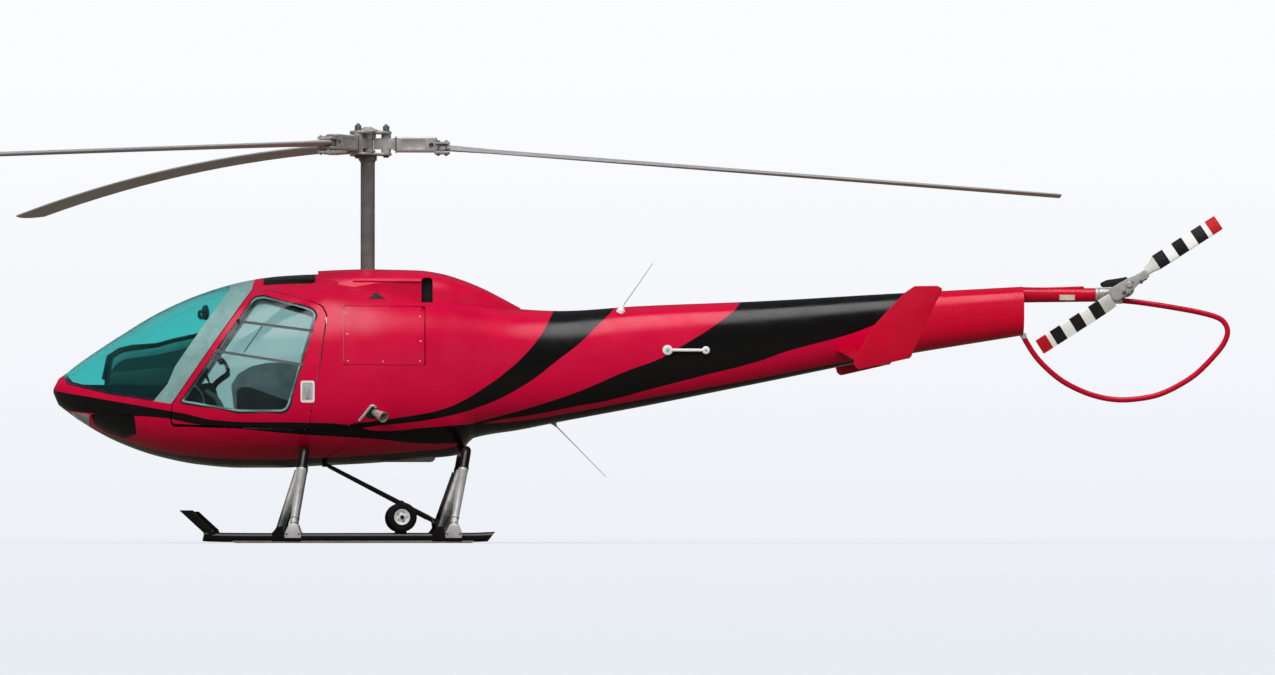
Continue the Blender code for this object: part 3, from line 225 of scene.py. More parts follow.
def colour_setting(name, description, default):
    return FloatVectorProperty(name=name, description=description, subtype="COLOR", default=default, min=0,
        max=1)


class HelicopterLooks(bpy.types.PropertyGroup):
    """Colours and sizes that a user may want to change."""
    paint: colour_setting("Body paint", "Colour of the body's gloss paint", (0.6, 0.0008, 0.04))
    tail_paint: colour_setting("Tail paint", "Colour of the paint aft of the end plates",
        (0.54, 0.001, 0.024))
    stripe_paint: colour_setting("Stripe paint", "Colour of the stripes and the dark gloss parts",
        (0.005, 0.0048, 0.0046))
    windshield_tint: colour_setting("Windshield tint", "Tint of one pane of the windshield",
        (0.19, 0.61, 0.6))
    door_tint: colour_setting("Door window tint", "Tint of one pane of a door window", (0.41, 0.55, 0.545))
    seam: FloatProperty(name="Rivet size", description="Radius of a fastener's head", default=0.0055,
        min=0.002, max=0.02, subtype="DISTANCE", unit="LENGTH")


def at(station):
    """X of a station measured aft from the mast."""
    return MAST_X + station


def spot(station, y, height):
    """A point by its station, its distance from the centre line and its height."""
    return Vector((at(station), y, height))


def looks():
    return bpy.context.scene.helicopter_looks


# Mesh helpers.

def smoothed(mesh, angle=SMOOTH_ANGLE):
    mesh.shade_smooth()
    mesh.set_sharp_from_angle(angle=radians(angle))


def from_bmesh(name, shape, angle=SMOOTH_ANGLE):
    """An object from a bmesh, with its faces pointing out and smooth up to an angle."""
    shape.normal_update()
    bmesh.ops.recalc_face_normals(shape, faces=shape.faces)
    mesh = bpy.data.meshes.new(name)
    shape.to_mesh(mesh)
    shape.free()
    smoothed(mesh, angle)
    piece = bpy.data.objects.new(name, mesh)
    bpy.context.scene.collection.objects.link(piece)
    return piece


def finish(piece, skin_name, slot, *replaced, body=AIRFRAME):
    """Give a piece its material and let it ride on a body, in place of CAD nodes; the slot is not used."""
    piece.data.materials.clear()
    piece.data.materials.append(skin(skin_name))
    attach(piece, body)
    if replaced:
        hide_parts(*replaced)
    return piece


def carve(piece, operation, tools):
    """Cut or trim a piece with tools, which are then removed."""
    for tool in tools:
        modifier = piece.modifiers.new(tool.name, "BOOLEAN")
        modifier.operation = operation
        modifier.object = tool
        modifier.solver = "EXACT"
    bpy.context.view_layer.update()
    evaluated = piece.evaluated_get(bpy.context.evaluated_depsgraph_get())
    mesh = bpy.data.meshes.new_from_object(evaluated)
    piece.modifiers.clear()
    old = piece.data
    piece.data = mesh
    bpy.data.meshes.remove(old)
    mesh.name = piece.name
    smoothed(mesh)
    for tool in tools:
        bpy.data.objects.remove(tool, do_unlink=True)
    return piece


def cut(piece, *tools):
    return carve(piece, "DIFFERENCE", tools)


def trim(piece, *tools):
    return carve(piece, "INTERSECT", tools)


def merged(name, pieces):
    """One object from several, each keeping its own closed surface."""
    shape = bmesh.new()
    for piece in pieces:
        mesh = piece.data.copy()
        bpy.context.view_layer.update()
        mesh.transform(piece.matrix_world)
        shape.from_mesh(mesh)
        bpy.data.meshes.remove(mesh)
        bpy.data.objects.remove(piece, do_unlink=True)
    return from_bmesh(name, shape)


def smooth_value(rows, column, station):
    """Read one column of a table at a station, on a smooth curve that doesn't overshoot."""
    if station <= rows[0][0]:
        return rows[0][column]
    if station >= rows[-1][0]:
        return rows[-1][column]
    slopes = [(after[column] - before[column]) / (after[0] - before[0]) for before,
        after in zip(rows, rows[1:])]
    tangents = [slopes[0]]
    for left, right in zip(slopes, slopes[1:]):
        tangents.append(0.0 if left * right <= 0 else 2 * left * right / (left + right))
    tangents.append(slopes[-1])
    index = max(i for i in range(len(rows) - 1) if rows[i][0] <= station)
    start, end = rows[index], rows[index + 1]
    width = end[0] - start[0]
    t = (station - start[0]) / width
    bend_in = t * (1 - t) ** 2 * width * tangents[index]
    bend_out = t * t * (t - 1) * width * tangents[index + 1]
    blend = t * t * (3 - 2 * t)
    return start[column] * (1 - blend) + end[column] * blend + bend_in + bend_out


def body_section(station, inset=0.0):
    """Top, bottom, half width and widest height of the body at a station, less an inset."""
    top, bottom, half, middle = (smooth_value(BODY, column, station) for column in (1, 2, 3, 4))
    return top - inset, bottom + inset, half - inset, middle


def body_ring(station, inset=0.0):
    """Points round the body's skin at a station."""
    top, bottom, half, middle = body_section(station, inset)
    ring = []
    for index in range(RING_POINTS):
        angle = 2 * pi * (index + 0.5) / RING_POINTS
        side, rise = cos(angle), sin(angle)
        power = 2 / (ROUND_ABOVE if rise >= 0 else ROUND_BELOW)
        height = top - middle if rise >= 0 else middle - bottom
        ring.append(spot(station, copysign(abs(side) ** power, side) * half, middle
            + copysign(abs(rise) ** power, rise) * height))
    return ring


def side_of_body(station, height):
    """Distance of the body's skin from the centre line at a station and height."""
    top, bottom, half, middle = body_section(station)
    if height >= middle:
        share = min(1.0, (height - middle) / (top - middle))
        return half * (1 - share ** ROUND_ABOVE) ** (1 / ROUND_ABOVE)
    share = min(1.0, (middle - height) / (middle - bottom))
    return half * (1 - share ** ROUND_BELOW) ** (1 / ROUND_BELOW)


def on_body(station, height, side, out=0.0):
    """A point on the body's skin, or a little way out of it."""
    return spot(station, side * (side_of_body(station, height) + out), height)


def out_of_body(station, height, side):
    """The direction straight out of the body's skin."""
    here = on_body(station, height, side)
    along = on_body(station + 0.01, height, side) - here
    up = on_body(station, height + 0.01, side) - here
    normal = along.cross(up)
    if normal.y * side < 0:
        normal.negate()
    return normal.normalized()


def shares(count):
    """Even shares from nought to one."""
    return [step / count for step in range(count + 1)]


def stations_between(start, end, spacing=0.035):
    count = max(2, ceil((end - start) / spacing))
    return [start + (end - start) * index / count for index in range(count + 1)]


def add_rows(shape, rings):
    """Rows of quads through rings of equal count; returns the rows of vertices."""
    rows = [[shape.verts.new(point) for point in ring] for ring in rings]
    for row, following in zip(rows, rows[1:]):
        bridge_rows(shape, row, following)
    return rows


def bridge_rows(shape, first, second):
    for index in range(len(first)):
        after = (index + 1) % len(first)
        shape.faces.new((first[index], first[after], second[after], second[index]))


def loft(name, rings, angle=SMOOTH_ANGLE):
    """A closed solid through rings of equal count, with flat ends."""
    shape = bmesh.new()
    rows = add_rows(shape, rings)
    shape.faces.new(rows[0])
    shape.faces.new(reversed(rows[-1]))
    return from_bmesh(name, shape, angle)


def body_solid(name, start, end, inset=0.0, spacing=0.05):
    return loft(name, [body_ring(station, inset) for station in stations_between(start, end, spacing)])


def body_shell(name, start, end, wall, hollow_start=None, hollow_end=None, outside=0.0, spacing=0.035):
    """A hollow stretch of the body; an end whose hollow stops short of it is closed."""
    hollow_start = start if hollow_start is None else hollow_start
    hollow_end = end if hollow_end is None else hollow_end
    shape = bmesh.new()
    outer = add_rows(shape, [body_ring(station, outside) for station in stations_between(start, end,
        spacing)])
    inner = add_rows(shape, [body_ring(station, outside + wall)
        for station in stations_between(hollow_start, hollow_end, spacing)])
    for row, hollow_row, shared in ((outer[0], inner[0], hollow_start == start),
            (outer[-1], inner[-1], hollow_end == end)):
        if shared:
            bridge_rows(shape, row, hollow_row)
        else:
            shape.faces.new(row)
            shape.faces.new(hollow_row)
    return from_bmesh(name, shape)


def corners_of(outline):
    """Each point of an outline between the ones before and after it."""
    return zip((outline[-1], *outline[:-1]), outline, (*outline[1:], outline[0]))


def grown(outline, amount):
    """An outline moved outward by an amount, its corners kept sharp."""
    area = sum(a[0] * b[1] - b[0] * a[1] for a, b in zip(outline, (*outline[1:], outline[0])))
    sign = 1 if area > 0 else -1
    moved = []
    for before, corner, after in corners_of(outline):
        into = (Vector(corner) - Vector(before)).normalized()
        out_of = (Vector(after) - Vector(corner)).normalized()
        miter = Vector((into.y, -into.x)) * sign + Vector((out_of.y, -out_of.x)) * sign
        step = miter * (2 * amount / miter.length_squared)
        moved.append((corner[0] + step.x, corner[1] + step.y))
    return tuple(moved)


def rounded(outline, radius=0.02, steps=4):
    """An outline with its corners rounded."""
    result = []
    for before, corner, after in corners_of(outline):
        corner = Vector(corner)
        back = Vector(before) - corner
        ahead = Vector(after) - corner
        turn = pi - back.angle(ahead)
        reach = min(radius * tan(turn / 2), back.length * 0.45, ahead.length * 0.45)
        if turn < radians(4) or reach < 0.001:
            result.append(tuple(corner))
            continue
        start = corner + back.normalized() * reach
        end = corner + ahead.normalized() * reach
        for step in range(steps + 1):
            t = step / steps
            point = start * (1 - t) ** 2 + corner * 2 * t * (1 - t) + end * t * t
            result.append((point.x, point.y))
    return tuple(result)


def slab(name, outline, low, high, plan=False):
    """A flat outline, seen from the side or from above, made as thick as from low to high."""
    shape = bmesh.new()
    ends = [[shape.verts.new((at(a), b, reach) if plan else (at(a), reach, b)) for a, b in outline]
        for reach in (low, high)]
    bridge_rows(shape, *ends)
    for end in ends:
        shape.faces.new(end)
    return from_bmesh(name, shape)


def side_slab(name, outline, side, inner=FLANK_INNER):
    """A side outline taken through one flank of the body."""
    return slab(name, outline, *sorted((side * inner, side * SIDE_REACH)))


def patch(name, span, wall, outline, side, inner=FLANK_INNER, **more):
    """The part of the body's skin, from station to station, that lies inside a side outline."""
    return trim(body_shell(name, *span, wall, **more), side_slab("cutter", outline, side, inner))


def inside_cabin(piece):
    """Trim a piece to what lies within the cabin's skin."""
    return trim(piece, body_solid("inside", -2.05, CABIN_END, CABIN_WALL + GAP))


def curved(points, per=6):
    """More points between the given ones, on a smooth curve through them."""
    points = [Vector(point) for point in points]
    padded = [points[0] * 2 - points[1], *points, points[-1] * 2 - points[-2]]
    result = []
    for index in range(1, len(padded) - 2):
        a, b, c, d = padded[index - 1:index + 3]
        for step in range(per):
            t = step / per
            result.append(0.5 * (2 * b + (c - a) * t + (2 * a - 5 * b + 4 * c - d) * t * t
                + (3 * b - a - 3 * c + d) * t ** 3))
    result.append(points[-1])
    return result


def sweep(name, points, section, closed=False, up=UP):
    """A closed solid that carries a flat section along points; each section point is across, up."""
    points = [Vector(point) for point in points]
    rings = []
    for index, point in enumerate(points):
        before = points[index - 1] if index or closed else point
        after = points[(index + 1) % len(points)] if index < len(points) - 1 or closed else point
        along = (after - before).normalized()
        across = along.cross(Vector(up))
        if across.length < 0.05:
            across = along.cross(Vector((0, 1, 0)))
        across.normalize()
        rise = across.cross(along).normalized()
        rings.append([point + across * a + rise * b for a, b in section])
    shape = bmesh.new()
    rows = add_rows(shape, rings)
    if closed:
        bridge_rows(shape, rows[-1], rows[0])
    else:
        shape.faces.new(rows[0])
        shape.faces.new(rows[-1])
    return from_bmesh(name, shape)


def circle(radius, sides=20):
    return [(radius * cos(2 * pi * index / sides), radius * sin(2 * pi * index / sides))
        for index in range(sides)]


def tube(name, points, radius, sides=20):
    return sweep(name, points, circle(radius, sides))


def turned(name, profile, start, direction, sides=32, ring=False):
    """A turned piece: profile points are radius and distance along the direction; a ring has a bore."""
    start, direction = Vector(start), Vector(direction).normalized()
    turn = Vector(UP).rotation_difference(direction).to_matrix()
    shape = bmesh.new()
    rows = add_rows(shape, [[start + turn @ Vector((x, y, along)) for x,
        y in circle(max(radius, 0.0002), sides)] for radius, along in profile])
    if ring:
        bridge_rows(shape, rows[-1], rows[0])
    else:
        shape.faces.new(rows[0])
        shape.faces.new(reversed(rows[-1]))
    return from_bmesh(name, shape)


def rod(name, start, end, radius, sides=24, edge=0.0015, end_radius=None):
    """A round bar with softened ends."""
    start, end = Vector(start), Vector(end)
    length = (end - start).length
    last = radius if end_radius is None else end_radius
    edge = min(edge, radius * 0.4, last * 0.4)
    profile = ((radius - edge, 0), (radius, edge), (last, length - edge), (last - edge, length))
    return turned(name, profile, start, end - start, sides)


def block(name, low, high, bevel=0.002, segments=2):
    """A box with softened edges."""
    low, high = Vector(low), Vector(high)
    shape = bmesh.new()
    bmesh.ops.create_cube(shape, size=1)
    shape.transform(Matrix.Translation((low + high) / 2) @ Matrix.Diagonal((*(high - low), 1)))
    if bevel:
        bmesh.ops.bevel(shape, geom=shape.edges[:], offset=bevel, segments=segments, affect="EDGES",
            profile=0.5)
    return from_bmesh(name, shape)


def plate(name, outline, low, high, bevel=0.002, plan=False):
    """A slab with softened edges."""
    piece = slab(name, outline, low, high, plan)
    shape = bmesh.new()
    shape.from_mesh(piece.data)
    rim = [edge for edge in shape.edges if edge.calc_face_angle(0) > radians(60)
        and any(len(face.verts) > 4 for face in edge.link_faces)]
    bmesh.ops.bevel(shape, geom=rim, offset=bevel, segments=2, affect="EDGES", profile=0.5)
    bpy.data.objects.remove(piece, do_unlink=True)
    return from_bmesh(name, shape)


def moved(piece, matrix):
    piece.data.transform(matrix)
    return piece


def bolt(name, place, direction, radius=0.0055, height=0.004):
    """A six-sided bolt head on a round washer."""
    place, direction = Vector(place), Vector(direction).normalized()
    washer = turned(name + "_washer", ((radius * 1.5, 0), (radius * 1.5, height * 0.25),
        (radius * 1.4, height * 0.35)), place, direction, 16)
    head = turned(name + "_head", ((radius, height * 0.3), (radius, height * 0.9),
        (radius * 0.85, height * 1.15)), place, direction, 6)
    return [washer, head]


def stud(name, place, direction, radius=0.0055):
    """A round quarter-turn fastener, slightly domed."""
    place, direction = Vector(place), Vector(direction).normalized()
    return turned(name, ((radius, -0.001), (radius, 0.0006), (radius * 0.75, 0.0014),
        (radius * 0.35, 0.0017), (0.0003, 0.0018)), place, direction, 16)


# Shader helpers; the owner is a material or the world.

def new_material(name, colour, roughness, metallic=0.0, coat=0.0, transmission=0.0, ior=1.5, sheen=0.0,
        specular=0.5):
    material = bpy.data.materials.new(name)
    material.use_nodes = True
    inputs = material.node_tree.nodes["Principled BSDF"].inputs
    inputs["Base Color"].default_value = (*colour[:3], 1.0)
    for socket, value in (("Roughness", roughness), ("Metallic", metallic), ("Coat Weight", coat),
                          ("Coat Roughness", 0.04), ("Transmission Weight", transmission), ("IOR", ior),
                          ("Sheen Weight", sheen), ("Specular IOR Level", specular)):
        inputs[socket].default_value = value
    material.diffuse_color = (*colour[:3], 1.0)
    return material


def feed(owner, socket, value):
    """Link a socket to an input, or set the input to a value; colours get their fourth number."""
    if isinstance(value, bpy.types.NodeSocket):
        owner.node_tree.links.new(value, socket)
    elif socket.type == "RGBA":
        socket.default_value = (*value[:3], 1.0)
    else:
        socket.default_value = value


def node(owner, kind, **inputs):
    """Add a shader node; keyword names with underscores set the inputs of that name."""
    made = owner.node_tree.nodes.new("ShaderNode" + kind)
    for name, value in inputs.items():
        feed(owner, made.inputs[name.replace("_", " ")], value)
    return made


def drive(material, name, source):
    """Let a node's output drive one of the shader's inputs."""
    feed(material, material.node_tree.nodes["Principled BSDF"].inputs[name], source)


def place_of(material):
    """Coordinates in the piece's own space, which is the frame's at rest."""
    return node(material, "TexCoord").outputs["Object"]


def axis_of(material, axis):
    return node(material, "SeparateXYZ", Vector=place_of(material)).outputs[axis]


def noise(material, scale, stretch=(1, 1, 1), detail=3.0, roughness=0.5):
    mapping = node(material, "Mapping", Vector=place_of(material), Scale=stretch)
    return node(material, "TexNoise", Vector=mapping.outputs["Vector"], Scale=scale, Detail=detail,
                Roughness=roughness).outputs["Fac"]


def ranged(owner, source, low, high, start=0.3, end=0.7):
    return node(owner, "MapRange", Value=source, From_Min=start, From_Max=end, To_Min=low,
                To_Max=high).outputs["Result"]


def dent(material, source, strength, distance):
    """Raise the surface by a grey value."""
    made = node(material, "Bump", Height=source, Strength=strength, Distance=distance)
    before = material.node_tree.nodes["Principled BSDF"].inputs["Normal"]
    if before.is_linked:
        feed(material, made.inputs["Normal"], before.links[0].from_socket)
    drive(material, "Normal", made.outputs["Normal"])


def mixed(owner, share, first, second):
    """A colour between two, each a colour or a socket."""
    made = owner.node_tree.nodes.new("ShaderNodeMix")
    made.data_type = "RGBA"
    for name, value in (("Factor", share), ("A", first), ("B", second)):
        feed(owner, made.inputs[name], value)
    return made.outputs["Result"]


def maths(owner, operation, first, second=0.0):
    made = node(owner, "Math")
    made.operation = operation
    for socket, value in zip(made.inputs, (first, second)):
        feed(owner, socket, value)
    return made.outputs["Value"]


def scaled(colour, factor, extra=0.0):
    return [min(1.0, value * factor + extra) for value in colour]


def speckled(material, scale, detail, first, second, roughness=0.5):
    """Colour the surface between two shades; returns the noise that does it."""
    spots = noise(material, scale, detail=detail, roughness=roughness)
    drive(material, "Base Color", mixed(material, ranged(material, spots, 0.0, 1.0), first, second))
    return spots


def edge_height(material, x, points):
    """Height of a stripe's edge above each station, as a curve."""
    heights = [height for _, height in points]
    low, high = min(heights) - 0.001, max(heights) + 0.001
    first, last = at(points[0][0]), at(points[-1][0])
    curve = node(material, "FloatCurve", Value=ranged(material, x, 0.0, 1.0, first, last))
    line = curve.mapping.curves[0]
    spots = [((at(station) - first) / (last - first), (height - low) / (high - low))
             for station, height in points]
    line.points[0].location = spots[0]
    line.points[1].location = spots[-1]
    for spot in spots[1:-1]:
        line.points.new(*spot)
    curve.mapping.update()
    return ranged(material, curve.outputs["Value"], low, high, 0.0, 1.0)


def stripe_mask(material):
    """One where a stripe or the dark belly is, else nought."""
    axes = node(material, "SeparateXYZ", Vector=place_of(material))
    x, z = axes.outputs["X"], axes.outputs["Z"]

    def both(first, second):
        return maths(material, "MULTIPLY", first, second)

    total = both(maths(material, "LESS_THAN", z, edge_height(material, x, BELLY)),
                 maths(material, "LESS_THAN", x, at(BELLY[-1][0])))
    for upper, lower in STRIPES:
        inside = both(maths(material, "LESS_THAN", z, edge_height(material, x, upper)),
                      maths(material, "GREATER_THAN", z, edge_height(material, x, lower)))
        along = both(maths(material, "GREATER_THAN", x, at(upper[0][0])),
                     maths(material, "LESS_THAN", x, at(upper[-1][0])))
        total = maths(material, "MAXIMUM", total, both(inside, along))
    return total


def gloss_finish(material):
    """Fine orange peel, faint dust and uneven gloss of sprayed paint."""
    dent(material, noise(material, 180.0, detail=2.0), 0.02, 0.0006)
    dent(material, noise(material, 2.2, detail=1.0), 0.08, 0.004)
    drive(material, "Roughness", ranged(material, noise(material, 7.0, detail=5.0), 0.16, 0.3))


SKINS = {}


def skin(name):
    """A material by name, made when first asked for."""
    if name not in SKINS:
        SKINS[name] = MAKERS[name]("helicopter_" + name)
    return SKINS[name]


def striped_paint(name):
    paint = looks().paint
    material = new_material(name, paint, 0.22, specular=0.25)
    dust = ranged(material, noise(material, 3.0, detail=6.0), 0.0, 1.0)
    aft = ranged(material, axis_of(material, "X"), 0.0, 1.0, at(3.6), at(3.72))
    red = mixed(material, aft, mixed(material, dust, paint, scaled(paint, 0.86)), looks().tail_paint)
    drive(material, "Base Color", mixed(material, stripe_mask(material), red, looks().stripe_paint))
    gloss_finish(material)
    return material


def plain_paint(colour):
    def make(name):
        material = new_material(name, colour(), 0.22, specular=0.25)
        speckled(material, 5.0, 6.0, colour(), scaled(colour(), 0.84, 0.002))
        gloss_finish(material)
        return material
    return make


def metal(colour, roughness, stretch=(1, 1, 1), grain=140.0, depth=0.15, metallic=0.55, stain=0.62):
    """Bare metal with a grain, scuffs and small stains."""
    def make(name):
        material = new_material(name, colour, roughness, metallic=metallic)
        grained = noise(material, grain, stretch, detail=4.0)
        speckled(material, 9.0, 6.0, colour, scaled(colour, stain), 0.65)
        drive(material, "Roughness", ranged(material, grained, roughness * 0.75, roughness * 1.35))
        dent(material, grained, depth, 0.0006)
        return material
    return make


def coated(colour, roughness, bumps=0.2, scale=220.0, gloss=0.35):
    """Matt paint, plastic or rubber with a fine grain and scuffs."""
    def make(name):
        material = new_material(name, colour, roughness, specular=gloss)
        scuffs = speckled(material, 14.0, 8.0, colour, scaled(colour, 1.5, 0.004), 0.7)
        rough = ranged(material, scuffs, roughness * 0.85, min(1.0, roughness * 1.15))
        drive(material, "Roughness", rough)
        dent(material, noise(material, scale, detail=2.0), bumps, 0.0008)
        return material
    return make


def glazing(tint, roughness=0.03):
    """Tinted acrylic with faint wiping marks."""
    def make(name):
        material = new_material(name, tint(), roughness, transmission=1.0, ior=1.3)
        marks = noise(material, 6.0, (1, 1, 3), detail=6.0)
        drive(material, "Roughness", ranged(material, marks, roughness, roughness + 0.05))
        dent(material, noise(material, 1.3, detail=1.0), 0.1, 0.004)
        return material
    return make


def woven(colour):
    """Cloth with a fine weave."""
    def make(name):
        material = new_material(name, colour, 0.9, sheen=0.35)
        heights = []
        for direction in ("X", "Y"):
            wave = node(material, "TexWave", Vector=place_of(material), Scale=260.0, Distortion=0.6)
            wave.bands_direction = direction
            heights.append(wave.outputs["Fac"])
        speckled(material, 11.0, 6.0, colour, scaled(colour, 1.6, 0.004))
        dent(material, maths(material, "MULTIPLY", *heights), 0.5, 0.0008)
        return material
    return make


def leg_paint(name):
    """Dark leg, grey above and black towards its shoe; the grey is partly its metal and partly a painted
    reflection.
    """
    material = new_material(name, (0.16, 0.16, 0.15), 0.4, metallic=0.3)
    ragged_height = maths(material, "ADD", axis_of(material, "Z"),
                 ranged(material, noise(material, 25.0, detail=5.0), -0.03, 0.03))
    share = ranged(material, ragged_height, 0.0, 1.0, 0.17, 0.3)
    # Grey above a ragged height near the shoe and black below it; the grey is partly a painted reflection.
    drive(material, "Base Color", mixed(material, share, (0.01, 0.01, 0.01), (0.19, 0.185, 0.17)))
    drive(material, "Roughness", ranged(material, noise(material, 18.0, detail=6.0), 0.32, 0.5))
    dent(material, noise(material, 150.0), 0.08, 0.0006)
    return material


def tail_blade_paint(name):
    """White blade with black bands and a red tip, by distance from the hub."""
    white, black, red = (0.83, 0.83, 0.8), (0.008, 0.008, 0.008), (0.48, 0.003, 0.01)
    material = new_material(name, white, 0.3, coat=0.3)
    offset = node(material, "VectorMath")
    offset.operation = "SUBTRACT"
    along = node(material, "VectorMath")
    along.operation = "DOT_PRODUCT"
    for made, first, second in ((offset, place_of(material), TAIL_HUB),
                                (along, offset.outputs["Vector"], (cos(TAIL_TILT), 0, sin(TAIL_TILT)))):
        feed(material, made.inputs[0], first)
        feed(material, made.inputs[1], second)
    share = maths(material, "ABSOLUTE", maths(material, "DIVIDE", along.outputs["Value"], TAIL_RADIUS))
    ramp = node(material, "ValToRGB", Fac=share)
    ramp.color_ramp.interpolation = "CONSTANT"
    colour_stops(ramp, ((0.0, (0.55, 0.55, 0.52)), (0.318, black), (0.427, white), (0.527, black),
                        (0.636, white), (0.736, black), (0.845, white), (0.891, red)))
    drive(material, "Base Color", ramp.outputs["Color"])
    dent(material, noise(material, 160.0), 0.05, 0.0006)
    drive(material, "Roughness", ranged(material, noise(material, 12.0, detail=5.0), 0.24, 0.38))
    return material


def colour_stops(ramp, stops):
    """Fill a ramp that has two stops with these."""
    elements = ramp.color_ramp.elements
    for element, (position, colour) in zip(elements, (stops[0], stops[-1])):
        element.position, element.color = position, (*colour, 1)
    for position, colour in stops[1:-1]:
        elements.new(position).color = (*colour, 1)


MAKERS = {"paint": striped_paint, "red": plain_paint(lambda: looks().paint),
    "tail_red": plain_paint(lambda: looks().tail_paint), "black": plain_paint(lambda: looks().stripe_paint),
    "white": plain_paint(lambda: (0.8, 0.8, 0.78)), "blade_metal": metal((0.52, 0.515, 0.505), 0.42,
    (0.15, 14, 14), 30.0, metallic=0.3, stain=0.86), "mast_metal": metal((0.29, 0.29, 0.285), 0.34,
    (6, 6, 0.3), 60.0), "hub_metal": metal((0.62, 0.61, 0.59), 0.42),
    "light_metal": metal((0.55, 0.55, 0.53), 0.42, depth=0.04, metallic=0.35),
    "oleo_metal": metal((0.47, 0.465, 0.45), 0.4, metallic=0.2),
    "bolt_metal": metal((0.2, 0.195, 0.185), 0.42), "worn_metal": metal((0.32, 0.31, 0.29), 0.5,
    (0.3, 3, 3), 60.0, 0.3), "rim_metal": metal((0.7, 0.7, 0.68), 0.4, metallic=0.1),
    "leg_paint": leg_paint, "steel": metal((0.5, 0.5, 0.5), 0.25),
    "rust_metal": metal((0.62, 0.58, 0.52), 0.4, depth=0.3),
    "rubber": coated((0.003, 0.003, 0.003), 0.85, 0.3, gloss=0.15),
    "seal": coated((0.01, 0.01, 0.011), 0.6), "plastic": coated((0.03, 0.031, 0.033), 0.55),
    "grey_plastic": coated((0.3, 0.31, 0.31), 0.5), "bar_grey": coated((0.1, 0.11, 0.11), 0.4),
    "band": coated((0.155, 0.275, 0.265), 0.35), "console_grey": coated((0.13, 0.085, 0.082), 0.6),
    "matt_black": coated((0.008, 0.008, 0.009), 0.6), "liner": coated((0.2, 0.21, 0.21), 0.8),
    "beige": coated((0.45, 0.4, 0.3), 0.6), "floor_mat": coated((0.1, 0.1, 0.1), 0.85, 0.6, 90.0),
    "cloth": woven((0.016, 0.016, 0.018)), "back_cloth": woven((0.26, 0.26, 0.27)),
    "windshield": glazing(lambda: looks().windshield_tint),
    "door_glass": glazing(lambda: looks().door_tint), "smoked": glazing(lambda: (0.045, 0.05, 0.052)),
    "sky_glass": glazing(lambda: (0.02, 0.022, 0.022)), "lamp": coated((0.58, 0.565, 0.53), 0.3, gloss=0.5),
    "tail_blade": tail_blade_paint}


def dress_node(name, skin_name):
    """Give a carried-over CAD node a finished material."""
    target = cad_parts[name]
    target.data.materials.clear()
    target.data.materials.append(skin(skin_name))


# Operators.

class HELICOPTER_OT_cabin_skin(bpy.types.Operator):
    """Build the cabin's skin with its openings"""
    bl_idname = "helicopter.cabin_skin"
    bl_label = "Cabin skin"

    def execute(self, context):
        cabin = body_shell("cabin_skin", NOSE, CABIN_END, CABIN_WALL, hollow_start=-2.075)
        rebate = body_shell("rebate", -2.12, CABIN_END - 0.01, 0.01 + GLASS_INSET + GLASS + GAP,
            outside=-0.01)
        trim(rebate, slab("rebate_outline", grown(rounded(WINDSHIELD), GAP), -SIDE_REACH, SIDE_REACH))
        cut(cabin, rebate, slab("screen_hole", WINDSHIELD_HOLE, -SIDE_REACH, SIDE_REACH),
            slab("sky_hole", grown(rounded(SKYLIGHT), GAP), 1.4, 2.0, plan=True),
            slab("lamp_hole", grown(LAMP_GLASS, GAP), -LAMP_HALF_WIDTH, LAMP_HALF_WIDTH))
        for side, _ in SIDES:
            cut(cabin, side_slab("chin_hole", grown(rounded(CHIN_GLASS), GAP), side, CHIN_INNER_Y),
                side_slab("door_hole", grown(rounded(DOOR_WAY, 0.03), DOOR_GAP - SEAM), side))
        finish(cabin, "paint", "red", "cabin_shell")
        dress_node("cabin_floor", "floor_mat")
        dress_node("cabin_bulkhead", "liner")
        return {"FINISHED"}


class HELICOPTER_OT_cabin_glass(bpy.types.Operator):
    """Build the windshield with its edge band, skylight, chin windows and lamp cover"""
    bl_idname = "helicopter.cabin_glass"
    bl_label = "Cabin glass"

    def execute(self, context):
        def pane(name, start, end, cutter, skin_name, node_name, slot):
            piece = body_shell(name, start, end, GLASS, outside=GLASS_INSET, spacing=0.04)
            trim(piece, cutter)
            finish(piece, skin_name, slot, node_name)

        pane("windshield_pane", -2.105, -0.7, slab("cutter", rounded(WINDSHIELD), -SIDE_REACH, SIDE_REACH),
            "windshield", "windshield", "glass")
        pane("skylight_pane", -0.75, -0.3, slab("cutter", rounded(SKYLIGHT), 1.4, 2.0, plan=True),
            "sky_glass", "skylight", "smoked")
        pane("landing_light_cover", -2.09, -1.85, slab("cutter", LAMP_GLASS, -LAMP_HALF_WIDTH + GAP,
            LAMP_HALF_WIDTH - GAP), "lamp", "landing_light", "lamp")
        for side, word in SIDES:
            pane(f"chin_pane_{word}", -1.95, -1.5, side_slab("cutter", rounded(CHIN_GLASS), side,
                CHIN_INNER_Y + GAP), "smoked", f"chin_window_{word}", "smoked")
        band = body_shell("windshield_edge_band", -1.5, -0.7, 0.0006, outside=0.0003, spacing=0.04)
        trim(band, slab("cutter", GREY_BAND, -SIDE_REACH, SIDE_REACH))
        finish(band, "band", "glass")
        for side, word in SIDES:
            finish(patch(f"lamp_surround_{word}", (-2.06, -1.8), 0.0016,
                ((-2.02, 0.888), (-1.88, 0.868), (-1.88, 0.66), (-2.02, 0.66)), side, LAMP_HALF_WIDTH + GAP,
                outside=-0.001, spacing=0.02), "grey_plastic", "grey")
        return {"FINISHED"}


